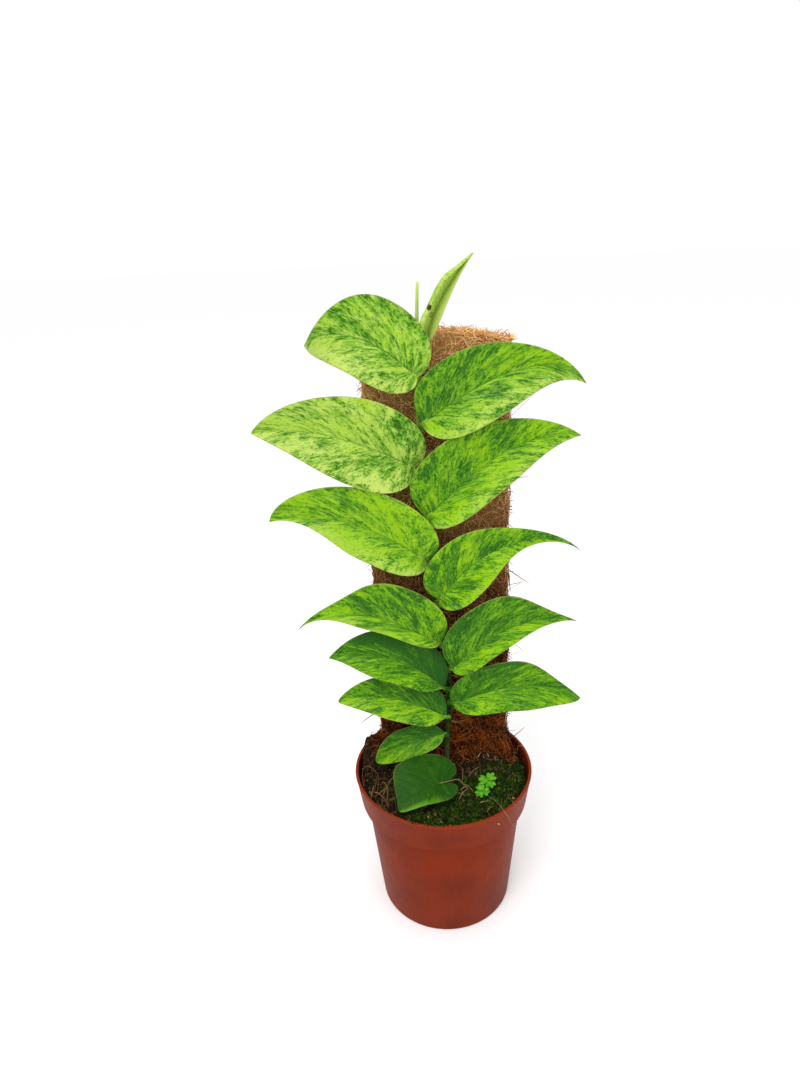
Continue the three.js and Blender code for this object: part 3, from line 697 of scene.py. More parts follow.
# Wisps fray out of the top edge, the two sides and the foot.
def wispPaths(rng):
    way, angles = wayRound()
    steps = np.linspace(0, 1, fibrePoints)[:, None]
    arch = np.sin(np.pi * steps)
    middle = np.array([board["x"], board["y"]])
    startAt = lambda angle, height, extra=0.0: boardPlace(np.array([angle]), np.array([height]), extra)[0]
    paths = []
    for _ in range(fibres["topWisps"]):
        angle = np.interp(rng.uniform(0, way[-1]), way, angles)
        start = startAt(angle, board["top"] - rng.uniform(*fibres["topDepth"]), 0.3)
        outward = np.array([0, np.sign(start[1] - board["y"]), 0])
        start = start - outward * rng.uniform(0, fibres["topInset"])
        away, aside, rise = fibres["topSpread"]
        push = outward * rng.normal(0, away) + (rng.normal(0, aside), 0, rng.uniform(0.1, 1) ** 2 * rise)
        paths.append(start + push * steps + rng.normal(0, fibres["bend"], 3) * arch)
    for _ in range(fibres["sideWisps"]):
        side = rng.choice([0, np.pi])
        angle = side + rng.normal(0, fibres["sideTurn"])
        start = startAt(angle, rng.uniform(board["shoulder"] + 8, board["top"] - 2))
        reach = rng.uniform(*fibres["longReach" if rng.uniform() < fibres["longShare"] else "sideReach"])
        push = np.array([np.cos(side) * reach, rng.normal(0, 0.35) * reach, rng.normal(0, 0.6) * reach])
        paths.append(start + push * steps + rng.normal(0, fibres["bend"], 3) * arch)
    for _ in range(fibres["footWisps"]):
        angle = rng.uniform(0, 2 * np.pi)
        start = startAt(angle, rng.uniform(board["shoulder"] + 6, fibres["footTop"]), 0.5)
        end = start[:2] + unit(start[:2] - middle) * rng.uniform(*fibres["footReach"])
        end = end + rng.normal(0, fibres["footSpread"], 2)
        end = end * min(1, fibres["soilReach"] / np.hypot(*end))
        path = start + (np.array([*end, float(groundHeight(*end)) + rng.uniform(0.2, 1.5)]) - start) * steps
        path[:, 2] = np.maximum(path[:, 2], groundHeight(path[:, 0], path[:, 1]) + 0.3)
        paths.append(path + rng.normal(0, fibres["footBend"], 3) * (1, 1, 0.3) * arch)
    return paths


def fibreStrands(name, paths, rng):
    coarse = rng.uniform(0, 1, len(paths)) < fibres["coarse"]
    base = np.where(coarse, *(rng.uniform(*fibres[key], len(paths)) for key in ("coarseRadius", "radius")))
    tones = np.where(coarse, rng.uniform(0.6, 1.2, len(paths)), rng.uniform(0, 1, len(paths)) ** 1.4)
    return strands(name, list(zip(paths, base[:, None] * np.array(fibres["taper"]), tones)))


# Pale near the top and dark near the soil, by height: partly dry and damp coir, partly painted shade that
# deepens towards the soil.
def coirTint(place, tone):
    low, high = board["dampShadeHeights"]
    share = tone.between(0.1, 0.95)
    dry, dampShaded = share.mix(board["dark"], board["light"]), share.mix(board["dampShadedDark"], board["dampShadedLight"])
    return (1 - place.split(2).between(low * mm, high * mm)).mix(dry, dampShaded)


def coirFinish():
    finish, place = newFinish("coir mat")
    one = place.stretched(1, 1, 5).mottle(4, 3, 0.6, 1.5)
    strand = one.calc("MAXIMUM", one, place.stretched(5, 5, 1).mottle(4, 3, 0.6, 1.5))
    gaps = place.mottle(5, 3, 0.6)
    colour = coirTint(place, strand.between(0.48, 0.72) * 0.9 + gaps * 0.3 - 0.2)
    return connected(finish, colour, strand * 0.1 + 0.9, strand.bump(1, 0.8))


def fibreFinish():
    finish, place = newFinish("coir fibre")
    grain = place.mottle(1.2, 2)
    clump = place.mottle(4.5, 3, 0.6).between(0.3, 0.7)
    colour = coirTint(place, place.attribute("tone") * 0.75 + grain * 0.15 + clump * 0.45 - 0.2)
    return connected(finish, colour, grain * 0.2 + 0.6)


def plankFinish():
    finish, place = newFinish("sawn plank")
    grain = place.stretched(3, 3, 0.08).mottle(2, 4, 0.6, 1)
    saw = place.stretched(0.3, 0.3, 3).mottle(2, 2)
    colour = grain.between(0.35, 0.7).mix(board["plankLight"], board["plankDark"])
    return connected(finish, colour, saw * 0.2 + 0.75, (grain + saw * 0.5).bump(0.5, 0.4))


# Stem

stem = {
    "course": ((4.5, -19, 78), (4.5, -18, 104), (3, -4, 120), (4, 7, 136), (6.5, 10.6, 152),
               (6, 10.8, 178), (1, 10.8, 223), (-4.5, 10.8, 266), (-7, 10.8, 316), (-9, 10.8, 361),
               (-8.5, 10.6, 392), (-8, 9, 416)),
    "radius": 2.1, "swelling": 0.6, "scarDrop": 3.6, "steps": 420, "rootLength": 13, "rootRadius": 0.5,
    "rootSteps": 10, "rootsEach": 5, "rootedLeaves": slice(4, 11), "rootFall": 6, "rootSpread": 3,
    "rootTone": (0.6, 1.1), "rootSeed": 3,
    "green": (34, 66, 12), "dark": (20, 42, 8), "scar": (84, 66, 38),
    "young": (138, 168, 66), "foot": (50, 46, 20),
}


def nodeHeights():
    return [leaf["at"][2] - leaf["drop"] for leaf in leaves]


def stemAt(height):
    line = smoothLine(stem["course"], 1200)
    return line[np.argmin(np.abs(line[:, 2] - height))]


def makeStem():
    line = smoothLine(stem["course"], stem["steps"])
    heights = line[:, 2] - np.array(nodeHeights())[:, None]
    swell = stem["swelling"] * np.max(np.exp(-((heights / 2.6) ** 2)), axis=0)
    scar = 0.25 * np.max(np.exp(-(((heights + stem["scarDrop"]) / 0.5) ** 2)), axis=0)
    radius = stem["radius"] + swell + scar
    share = np.linspace(0, 1, stem["steps"])
    piece, u, v = rod("stem_body", line, share, radius, radius, (0, -1, 0), 22)
    return smooth(closed(piece))


# Gripping roots leave the stem below the middle leaves and lie on the coir.
def gripRoots():
    rng = np.random.default_rng(stem["rootSeed"])
    paths = []
    face = board["y"] - board["thickness"] / 2 - 0.7
    for leaf in leaves[stem["rootedLeaves"]]:
        start = stemAt(leaf["at"][2] - leaf["drop"] - 4)
        for k in range(stem["rootsEach"]):
            turn = leaf["side"] if k % 2 else -leaf["side"]
            reach = stem["rootLength"] * rng.uniform(0.5, 1.2)
            fall = rng.uniform(-stem["rootFall"], stem["rootFall"])
            points = [start + (0, 0, rng.uniform(-stem["rootSpread"], stem["rootSpread"])),
                      (start[0] + turn * 3, (start[1] + face) / 2, start[2]),
                      (start[0] + turn * 0.6 * reach, face, start[2] - 2 + fall / 2),
                      (start[0] + turn * reach, face, start[2] + fall)]
            paths.append(smoothLine(points, stem["rootSteps"]))
    radius = stem["rootRadius"] * np.linspace(1.1, 0.5, stem["rootSteps"])
    tones = rng.uniform(*stem["rootTone"], len(paths))
    return strands("grip_roots", [(path, radius, tone) for path, tone in zip(paths, tones)])


def stemFinish():
    finish, place = newFinish("stem skin")
    height = place.split(2)
    long = place.stretched(1, 1, 0.15).mottle(1.5, 3, 0.6)
    spots = place.mottle(1.1, 3, 0.7).between(0.58, 0.68)
    colour = long.between(0.35, 0.65).mix(stem["green"], stem["dark"])
    colour = (height.between(230 * mm, 340 * mm) * 0.85).mix(colour, stem["young"])
    for level in nodeHeights():
        ring = 1 - (height - (level - stem["scarDrop"]) * mm).absolute().between(0.2 * mm, 0.9 * mm)
        colour = (ring * 0.4).mix(colour, stem["scar"])
    colour = (spots * 0.25).mix(colour, stem["scar"])
    # Darker and browner towards the soil: partly an older brown foot, partly painted shade low among the
    # leaves and the coir.
    colour = (1 - height.between(104 * mm, 138 * mm)).mix(colour, stem["foot"])
    return connected(finish, colour, long * 0.2 + 0.42, (long + spots).bump(0.3, 0.2))


# Leaves: the solid's own formula on a fine grid, with veins, a grooved midrib and a rounded margin.
# side: -1 left, 1 right. at: where the stalk meets the blade. rise: the midrib's heading above level at its
# start and its tip, and how late it turns. forward: how far it points towards -Y there. lean: how far the
# blade faces upward. A pair gives the upper half and then the lower half. fold: how far each half rises out
# of the blade's plane. width: how wide it is. lobe: how far it reaches back past the stalk, negative for a
# wedge. belly: where it is widest. taper: how full it stays towards the tip. point: how blunt its end is.
# wave: how far the margin waves. drop: how far below the blade the stalk leaves the stem. pale, green
# and plain: how much of each the skin has. The key after green: how far the upper half is darkened, partly
# by a greener skin and partly by painted shade from the leaf above. blunt: how round the very tip is. tail:
# how dark the tip is.
leaves = [
    dict(side=-1, at=(-10, -2, 400), length=91, rise=(45, -52, 1.6), forward=(6, -52), lean=10,
         fold=(16, 16), width=(27.7, 23.1), lobe=(2.6, 5.3), belly=(0.37, 0.33), taper=(0.68, 1),
         point=(0.13, 0.5), wave=1.0, drop=15, pale=0.95, green=0, shadeAndGreen=0.1, blunt=1.3, tail=0),
    dict(side=1, at=(-8, -1.5, 371), length=115, rise=(34, -54, 2.5), forward=(9, -14), lean=16,
         fold=(20, 27), width=(25.8, 25.1), lobe=(-1.2, 0.3), belly=(0.27, 0.34), taper=(0.7, 0.86),
         point=(0.24, 0.22), wave=1.6, drop=15, pale=0.65, green=0.03, shadeAndGreen=0.7, blunt=0.3, tail=0.5),
    dict(side=-1, at=(-13.5, -2.6, 344), length=107.5, rise=(30, -14, 1.6), forward=(10, -16), lean=14,
         fold=(25, 18), width=(30.5, 27), lobe=(4.8, 5.2), belly=(0.32, 0.31), taper=(0.96, 0.87),
         point=(0.2, 0.37), wave=1.2, drop=15, pale=1.05, green=-0.01, shadeAndGreen=0, blunt=0.5, tail=0),
    dict(side=1, at=(-7, -5, 310), length=117, rise=(46, -20, 2.2), forward=(8, -12), lean=14,
         fold=(24, 20), width=(30.9, 20.7), lobe=(-1.5, 3.7), belly=(0.27, 0.35), taper=(0.7, 0.76),
         point=(0.42, 0.61), wave=1.2, drop=15, pale=0.45, green=0.02, shadeAndGreen=0.6, blunt=0.4, tail=0.3),
    dict(side=-1, at=(-9, -5, 281), length=109, rise=(41, -18, 1.4), forward=(8, -10), lean=13,
         fold=(28, 22), width=(29.4, 21.4), lobe=(5.1, 7.5), belly=(0.35, 0.34), taper=(0.93, 0.75),
         point=(0.5, 0.04), wave=1.4, drop=14, pale=0.55, green=-0.01, shadeAndGreen=0.1, blunt=0.4, tail=0.2),
    dict(side=1, at=(0, -4, 250), length=117, rise=(57, -46, 1.45), forward=(10, -16), lean=13,
         fold=(24, 22), width=(25.3, 18.7), lobe=(-1.4, 4.9), belly=(0.25, 0.23), taper=(0.46, 0.46),
         point=(0.25, 0.04), wave=1.2, drop=14, pale=0.2, green=0.05, shadeAndGreen=0.5, blunt=0.3, tail=0.9),
    dict(side=-1, at=(-1, -4, 217), length=109, rise=(36, -54, 2), forward=(10, -14), lean=14,
         fold=(26, 24), width=(30.5, 10), lobe=(0.1, 1.2), belly=(0.37, 0.41), taper=(0.52, 0.75),
         point=(0.17, 0.04), wave=1.2, drop=13, pale=0.4, green=0.03, shadeAndGreen=0.4, blunt=0.3, tail=0.9),
    dict(side=1, at=(8.5, -5, 196), length=101, rise=(56, -24, 1.2), forward=(10, -14), lean=15,
         fold=(24, 24), width=(28.5, 13.4), lobe=(-5, 2.4), belly=(0.43, 0.3), taper=(0.64, 0.74),
         point=(0.21, 0.16), wave=1.2, drop=12, pale=0.1, green=0.07, shadeAndGreen=1, blunt=0.3, tail=0.9),
    dict(side=-1, at=(2.5, -0.5, 178), length=92, rise=(52, -16, 1.1), forward=(8, -6), lean=26,
         fold=(18, 20), width=(22, 15.7), lobe=(-6, -6), belly=(0.48, 0.51), taper=(0.91, 0.82),
         point=(0.19, 0.38), wave=1.1, drop=11, pale=0, green=0.12, shadeAndGreen=2.5, blunt=1, tail=0.2),
    dict(side=1, at=(8, -5, 168), length=97, rise=(28, -42, 1.5), forward=(10, -8), lean=20, fold=(24, 24),
         width=(21.6, 17.3), lobe=(0.4, 0.4), belly=(0.42, 0.51), taper=(0.64, 1), point=(0.25, 0.31),
         wave=1.1, drop=12, pale=0.05, green=0.1, shadeAndGreen=1, blunt=0.6, tail=0.4),
    dict(side=-1, at=(4, -1, 154), length=85, rise=(36, -22, 1.5), forward=(8, -4), lean=30, fold=(16, 18),
         width=(17.7, 15.5), lobe=(-5, -5), belly=(0.36, 0.43), taper=(0.77, 0.91), point=(0.75, 0.35),
         wave=1.0, drop=9, pale=0.25, green=0.04, shadeAndGreen=1.8, blunt=1.5, tail=0.2),
    dict(side=-1, at=(2, -4, 142), length=57, rise=(-8, -40, 1.5), forward=(8, 0), lean=32, fold=(16, 18),
         width=(12.5, 10.5), lobe=(-2, -2), belly=(0.53, 0.45), taper=(0.94, 0.94), point=(0.14, 0.55),
         wave=0.5, drop=10, pale=0.1, green=0.1, shadeAndGreen=1.5, plain=0.25, blunt=1.5, tail=0),
    dict(side=-1, at=(-1, -29, 118.8), length=39.5, rise=(8, -43, 1.2), forward=(22, 30), lean=56,
         fold=(7, 7), width=(24.5, 12.6), lobe=(18.5, 12.5), belly=(0.5, 0.1), taper=(0.68, 0.96),
         point=(0.48, 0.6), wave=0.5, drop=5, pale=0, green=0.1, shadeAndGreen=0, plain=0.92, blunt=0.8, tail=0),
]
for number, leaf in enumerate(leaves, 1):
    leaf["name"] = f"leaf_{number:02d}"
# The newest leaf's upper half has a flap at its foot and a margin rolled up from its outer columns.
newLeaf = dict(name="new_leaf", side=1, at=(-3.8, 8, 419), length=58.5, rise=(74.8, 42.7, 1),
               forward=(-2, 0), lean=6, fold=(56, 56), width=(10.8, 8.3), lobe=(1, 1), belly=(0.58, 0.3),
               taper=(0.65, 0.97), point=(0.62, 0.12), wave=0.4, drop=10, pale=1.1, green=-0.16, shadeAndGreen=0,
               blunt=0.3, tail=0.3, flecks=0.3, flap=0.45, flatColumns=0.6, rollStart=0.9, rollRadius=1.3)
# Spots on the newest leaf: the pixel of the photograph, the ring's radius, its width and its darkness.
newLeafSpots = (((430, 308.5), 0, 2.1, 0.95), ((432.5, 316), 1.2, 0.7, 0.6))
blade = {
    "lobeShare": 0.4, "neck": 0.15, "lobeReach": 1.3, "shoulder": 0.5, "flank": 0.25, "veinSlant": 2.8,
    "edgeCurl": 0.08, "waves": 2.2, "steps": 48, "thickness": 0.55, "rollTurn": 3.9,
    "flapPlace": 0.15, "flapSpread": 0.14, "rows": 116, "across": 44, "veins": 9, "veinPower": 0.8,
    "quilt": 0.25, "groove": 0.2, "grooveWidth": 1.1, "softFold": 0.05,
    "cream": (172, 194, 92), "lime": (132, 178, 12), "wash": (82, 144, 10),
    "mid": (44, 104, 8), "deep": (20, 72, 14), "fleck": (14, 50, 8),
    "rib": (138, 168, 70), "edge": (166, 160, 96), "plain": (14, 62, 0),
    "tail": (72, 96, 26), "scorch": (52, 26, 14),
    # Drift, cloud, fan, patch, fleck, spot and grain: how far each is drawn out along the side veins, then
    # its size and its roughness
    "noises": ((0.7, 14, 1), (0.5, 3.6, 3, 0.6, 0.4), (0.22, 1.5, 3, 0.6), (0.45, 2.6, 2, 0.6, 0.5),
               (0.45, 0.75, 3, 0.6, 0.3), (0.55, 0.55, 1), (0.5, 0.42, 2, 0.6)),
}


def cubic(a, b, c, d, t):
    s = 1 - t
    return s ** 3 * a + 3 * s * s * t * b + 3 * s * t * t * c + t ** 3 * d


# One half's margin on the flat leaf, from the stalk round the lobe to the tip as t goes from 0 to 1.
def marginPlace(leaf, half, t):
    length, lobeShare = leaf["length"], blade["lobeShare"]
    width, lobe, belly, taper, point = (
        np.take(leaf[fact], half) for fact in ("width", "lobe", "belly", "taper", "point"))
    widest = belly * length
    k = np.clip(t / lobeShare, 0, 1)
    lobeAlong = cubic(0, -blade["lobeReach"] * lobe, -blade["shoulder"] * lobe, widest, k)
    lobeAcross = cubic(0, blade["neck"] * width, width, width, k)
    k = np.clip((t - lobeShare) / (1 - lobeShare), 0, 1)
    flankAlong = cubic(widest, widest + blade["flank"] * length, taper * length, length, k)
    flankAcross = cubic(width, width, point * width, 0, k)
    return np.where(t < lobeShare, lobeAlong, flankAlong), np.where(t < lobeShare, lobeAcross, flankAcross)


# Places along the midrib, with the directions along it, across towards the upper half, and out.
def midribFrames(leaf):
    share = np.linspace(0, 1, blade["steps"] + 1)
    start, end, turn = leaf["rise"]
    rise = np.radians(start + (end - start) * share ** turn)
    first, last = leaf["forward"]
    forward = np.radians(first + (last - first) * share)
    lean = math.radians(leaf["lean"])
    level = np.cos(forward)
    along = np.c_[leaf["side"] * np.cos(rise) * level, -np.sin(forward), np.sin(rise) * level]
    facing = np.array([0, -math.cos(lean), math.sin(lean)])
    out = unit(facing - along * (along @ facing)[:, None])
    across = np.cross(out, along) * leaf["side"]
    travel = np.r_[np.zeros((1, 3)), np.cumsum(along[:-1], axis=0)] * leaf["length"] / blade["steps"]
    return np.array(leaf["at"]) + travel, along, across, out


def frameAt(frames, leaf, distance):
    at = np.clip(distance / leaf["length"], 0, 1) * blade["steps"]
    point, along, across, out = (rowsAt(rows, at) for rows in frames)
    return point + along * np.minimum(distance, 0)[:, None], along, across, out


def makeLeaf(leaf):
    frames = midribFrames(leaf)
    length, blunt = leaf["length"], leaf["blunt"]
    facts = {}

    def place(u, v):
        share = np.abs(2 * v - 1)
        upper = v >= 0.5
        half = np.where(upper, 0, 1)
        width = np.take(leaf["width"], half)
        fold = np.radians(np.take(leaf["fold"], half))
        edgeAlong, edgeAcross = marginPlace(leaf, half, u)
        foot = length * u ** blade["veinSlant"]
        # The newest leaf's upper half opens in a flap at its foot, and its margin is rolled inward.
        flap = np.exp(-(((edgeAlong / length - blade["flapPlace"]) / blade["flapSpread"]) ** 2))
        edgeAcross = edgeAcross * np.where(upper, 1 + leaf.get("flap", 0) * flap, 1)
        flat = leaf.get("flatColumns", 1)
        rolled = np.where(upper, np.clip((share - flat) / max(1 - flat, 0.01), 0, 1), 0)
        share = np.where(upper, np.minimum(share / flat, 1) * leaf.get("rollStart", 1), share)
        foot, edgeAlong = (way - blunt * np.exp((way - length) / blunt) for way in (foot, edgeAlong))
        distance = foot + (edgeAlong - foot) * share
        across = np.where(upper, 1, -1) * share * edgeAcross
        part = np.abs(across) / width
        soft = np.sqrt(part ** 2 + blade["softFold"] ** 2) - blade["softFold"]
        wave = leaf["wave"] * np.sin(2 * np.pi * blade["waves"] * distance / length + np.where(upper, 2, 0))
        lift = width * (np.sin(fold) * soft - blade["edgeCurl"] * part ** 2) + wave * part ** 2
        # The blade is quilted between its side veins and grooved along the midrib.
        phase = blade["veins"] * u ** blade["veinPower"] + np.where(upper, 0.5, 0)
        quilt = blade["quilt"] * (np.abs(np.sin(np.pi * phase)) ** 0.7 - 0.6)
        window = np.sin(np.pi * np.clip(share, 0, 1)) ** 0.7 * np.clip(edgeAcross / 8, 0, 1)
        groove = blade["groove"] * np.exp(-(across / blade["grooveWidth"]) ** 2) * (1 - u)
        lift = lift + quilt * window - groove
        curl = leaf.get("rollRadius", 0) * np.sqrt(edgeAcross / width)
        turn = blade["rollTurn"] * rolled
        point, along, side, out = frameAt(frames, leaf, distance)
        # Where the marbling's noises are read: along the side veins, across them, and apart for each leaf
        veinWay = length * (0.3 * u ** 2 + 0.5 * u)
        outWay = 0.8 * (across + curl * turn) + 0.35 * distance * np.where(upper, 1, -1)
        facts["vein"] = np.c_[veinWay, outWay, np.full(u.shape, leaf["at"][2])] * mm
        beyond = curl * (np.sin(turn) * np.cos(fold) - (1 - np.cos(turn)) * np.sin(fold))
        above = curl * (np.sin(turn) * np.sin(fold) + (1 - np.cos(turn)) * np.cos(fold))
        return point + side * (across * np.cos(fold) + beyond)[:, None] + out * (lift + above)[:, None]

    piece, u, v = bentGrid(leaf["name"] + "_blade", blade["rows"], blade["across"], place)
    setAttribute(piece, "vein", facts["vein"])
    setAttribute(piece, "stalk", np.zeros(len(u)))
    closed(piece, 2e-5)
    apply(piece, "SOLIDIFY", thickness=blade["thickness"] * mm, offset=0, use_even_offset=False)
    return smooth(joined(leaf["name"] + "_finished", [piece, makeStalk(leaf, frames)]))


stalk = {
    "width": ((0, 0.1, 0.5, 0.85, 1), (2.5, 2.5, 2.1, 1.8, 1.4)), "ribWidth": 1.1, "ribEnd": 0.35,
    "depth": 0.72, "ribDepth": 0.6, "behind": 0.9, "ribBehind": 0.8, "ribPlaces": (0, 0.1, 0.25, 0.5, 0.7),
    "bow": 3.2, "fullLength": 90, "steps": 70, "soften": 3, "around": 14, "groove": 0.25,
}


# The sheathed stalk rises from the stem, turns over at the blade and runs on behind it as the midrib.
def makeStalk(leaf, frames):
    foot = stemAt(leaf["at"][2] - leaf["drop"])
    base = np.array(leaf["at"], float)
    point, along, across, out = frameAt(frames, leaf, np.array(stalk["ribPlaces"]) * leaf["length"])
    bow = (foot + base) / 2 * (1, 0, 1) + (0, foot[1] - stalk["bow"], 0)
    points = [foot, bow, base - out[0] * stalk["behind"], *(point[1:] - out[1:] * stalk["ribBehind"])]
    line = smoothLine(points, stalk["steps"])
    way = wayAlong(line)
    share = way / way[-1]
    turnOver = np.linalg.norm(foot - base) * 1.1 / way[-1]
    beyond = np.clip((share - turnOver) / (1 - turnOver), 0, 1)
    rib = stalk["ribWidth"] + (stalk["ribEnd"] - stalk["ribWidth"]) * beyond
    size = min(1, leaf["length"] / stalk["fullLength"])
    free = share < turnOver
    width = np.where(free, np.interp(share / turnOver, *stalk["width"]) * size, rib)
    window = 2 * stalk["soften"] + 1
    width = np.convolve(np.pad(width, stalk["soften"], "edge"), np.ones(window) / window, "valid")
    depth = np.where(free, stalk["depth"], stalk["ribDepth"]) * width
    facing = np.where(free[:, None], (0, -1, 0.2), out[1])
    piece, u, v = rod(leaf["name"] + "_stalk", line, share, width, depth, facing, stalk["around"],
                      stalk["groove"])
    setAttribute(piece, "vein", np.c_[u * 0.03, v * 0.01, np.full(len(u), leaf["at"][2] * mm)])
    setAttribute(piece, "stalk", np.ones(len(u)))
    return closed(piece)


# Marbling: a lime or cream ground, a soft green wash over parts of it, and small green flecks that crowd
# together there, all drawn out along the side veins.
def leafFinish(leaf, scorch=()):
    finish, place = newFinish(leaf["name"] + " skin")
    vein = place.attribute("vein", "Vector")
    flat = place.make("ShaderNodeTexCoord", {}, {}, output="UV")
    along = flat.split(0)
    aside = (flat.split(1) - 0.5).absolute() * 2
    upper = flat.split(1).between(0.47, 0.53)
    phase = along ** blade["veinPower"] * blade["veins"] + upper * 0.5
    sideVein = (phase.calc("FRACT", phase) - 0.5).absolute().between(0.455, 0.49)
    drift, cloud, fan, patch, fleck, spot, grain = (
        vein.stretched(1, drawn, 1).mottle(*look) for drawn, *look in blade["noises"])
    # Painted shade from the leaf above on the upper half, strongest at the foot and fading towards the tip;
    # it also greens the skin a little there.
    shadeAndGreen = upper * (1.15 - along) * leaf["shadeAndGreen"]
    # The lower half is paler and less green towards its margin: partly its own marbling, partly painted light
    # where it faces up.
    paleAndLitMargin = (1 - upper) * aside.between(0.15, 1)
    cover = drift * 0.5 + cloud * 0.7 + fan * 0.45 + shadeAndGreen * 0.1 - paleAndLitMargin * 0.07 + (leaf["green"] - 0.79)
    base = drift * 1.1 + fan * 0.8 + patch * 0.9 + grain * 1.1 + paleAndLitMargin * 0.38 + (leaf["pale"] - 2.3)
    colour = base.between(0, 1).mix(blade["lime"], blade["cream"])
    # Each layer: its amount, where that begins and ends to show, the most of it, and its colour
    for amount, low, high, most, tint in (
        (cover + patch * 0.35 + grain * 0.35, 0.24, 0.5, 0.85, "wash"),
        (fleck * 0.9 + cover * 0.65 + patch * 0.2, 0.53, 0.72, 0.65, "mid"),
        (fleck * 0.5 + patch * 0.5 + cover * 0.7, 0.56, 0.72, 0.6, "deep"),
        (spot * 0.8 + fleck * 0.45 + cover * 0.1, 0.71, 0.78, 0.65 * leaf.get("flecks", 1), "fleck"),
    ):
        colour = (amount.between(low, high) * most).mix(colour, blade[tint])
    colour = (sideVein * (1 - aside) * along.between(0.05, 0.2) * 0.35).mix(colour, blade["rib"])
    if "plain" in leaf:
        lowEdge = (1 - upper) * aside.between(0.55, 1) * along.between(0.3, 0.7)
        even = (cloud * 0.6 + fan * 0.5 + lowEdge * 0.5).between(0.5, 1.15)
        even = even.mix(blade["plain"], blade["wash"])
        colour = (leaf["plain"] - (spot + fan).between(1.05, 1.3) * 0.15).mix(colour, even)
    # Painted shade: the upper half is darkened towards deep green.
    colour = (shadeAndGreen * 0.34).mix(colour, blade["deep"])
    # Painted shade: a dark line in the midrib's groove, from a little past the foot to the tip.
    rib = (1 - aside.between(0.008, 0.04)) * along.between(0.04, 0.2)
    colour = (rib * 0.5).mix(colour, blade["deep"])
    joint = 1 - (along * 3.4 + aside * 0.5 + fleck * 0.15).between(0.1, 0.42)
    colour = (joint * 0.8).mix(colour, blade["rib"])
    colour = (aside.between(0.978, 0.992) * 0.35).mix(colour, blade["edge"])
    colour = (along.between(0.965, 0.985) * leaf["tail"]).mix(colour, blade["tail"])
    stalkTint = (fleck.between(0.4, 0.6) * 0.5 + leaf["green"] * 6).between(0, 1)
    colour = (place.attribute("stalk") * 0.9).mix(colour, stalkTint.mix(blade["rib"], blade["mid"]))
    # A scorched spot with a dry ring under it
    for centre, ring, width, dark in scorch:
        burn = (place.distanceTo(centre) + (fleck - 0.5) * 2.5 * mm - ring * mm).absolute()
        colour = ((1 - burn.between(width * 0.6 * mm, width * mm)) * dark).mix(colour, blade["scorch"])
    relief = (fan * 0.5 + fleck * 0.2 + cloud * 0.3).bump(0.2, 0.35)
    return connected(finish, colour, fan * 0.15 + 0.4, relief)


# The shoot's slim point beside the newest leaf

shootTip = {
    "course": ((-9.1, 8.6, 413), (-8.6, 8.1, 427), (-8.1, 7.7, 441), (-7.3, 7.4, 454)), "radius": 1.4,
    "narrowing": 0.4, "steps": 60, "around": 12, "groove": 0.35,
    "pale": (190, 206, 122), "green": (150, 182, 76),
}


def makeShootTip():
    line = smoothLine(shootTip["course"], shootTip["steps"])
    share = np.linspace(0, 1, shootTip["steps"])
    width = shootTip["radius"] * (1 - shootTip["narrowing"] * share)
    piece, u, v = rod("shoot_point", line, share, width, 0.8 * width, (0, -1, 0), shootTip["around"],
                      shootTip["groove"])
    return smooth(closed(piece))


def shootFinish():
    finish, place = newFinish("shoot sheath")
    long = place.stretched(1, 1, 0.1).mottle(1.2, 3, 0.6)
    colour = long.between(0.35, 0.7).mix(shootTip["pale"], shootTip["green"])
    return connected(finish, colour, long * 0.15 + 0.45, long.bump(0.3, 0.15))


# Root loops: arches by their two ends, rise and swing; thin ones traced by the pixels of the photograph
# that they run through; and thinner ones strewn at the left.
loops = {
    "arches": (((-52, -14), (-38, -30), 10, (-4, -6)), ((-44, -34), (-50, -8), 8, (5, 2)),
               ((-56, -20), (-36, -14), 7, (2, -6))),
    "radius": 0.36, "tone": 0.35, "buried": 4, "steps": 22, "seed": 21,
    "traced": (((376, 775), (373.6, 768.4), (368, 766), (363, 770), (360.8, 779), (360.5, 790), (362, 799),
                (366, 803.6)),
               ((370, 770.7), (365.5, 774.5), (364, 783), (364.4, 793), (366.7, 800.5)),
               ((376, 775), (376.2, 782), (374.4, 790), (371.3, 797.5), (369.5, 806)),
               ((389, 784), (384.3, 790.6), (382.5, 797.5), (382, 803)),
               ((394, 777.6), (391, 781.4), (388, 786)),
               ((372, 768), (376, 771), (378.5, 778), (378, 788), (375, 797))),
    "tracedRadius": 0.21, "tracedLift": 2.2, "tracedReach": 60.5, "tracedTone": (0.45, 0.85),
    "thinCount": 22, "thinRadius": (0.14, 0.28), "thinAngle": (2.6, 4.3), "thinPlace": (32, 58),
    "thinLength": (8, 26), "thinReach": 59, "thinSwing": 5, "thinRise": (0.5, 7), "thinTone": (0.1, 0.7),
}


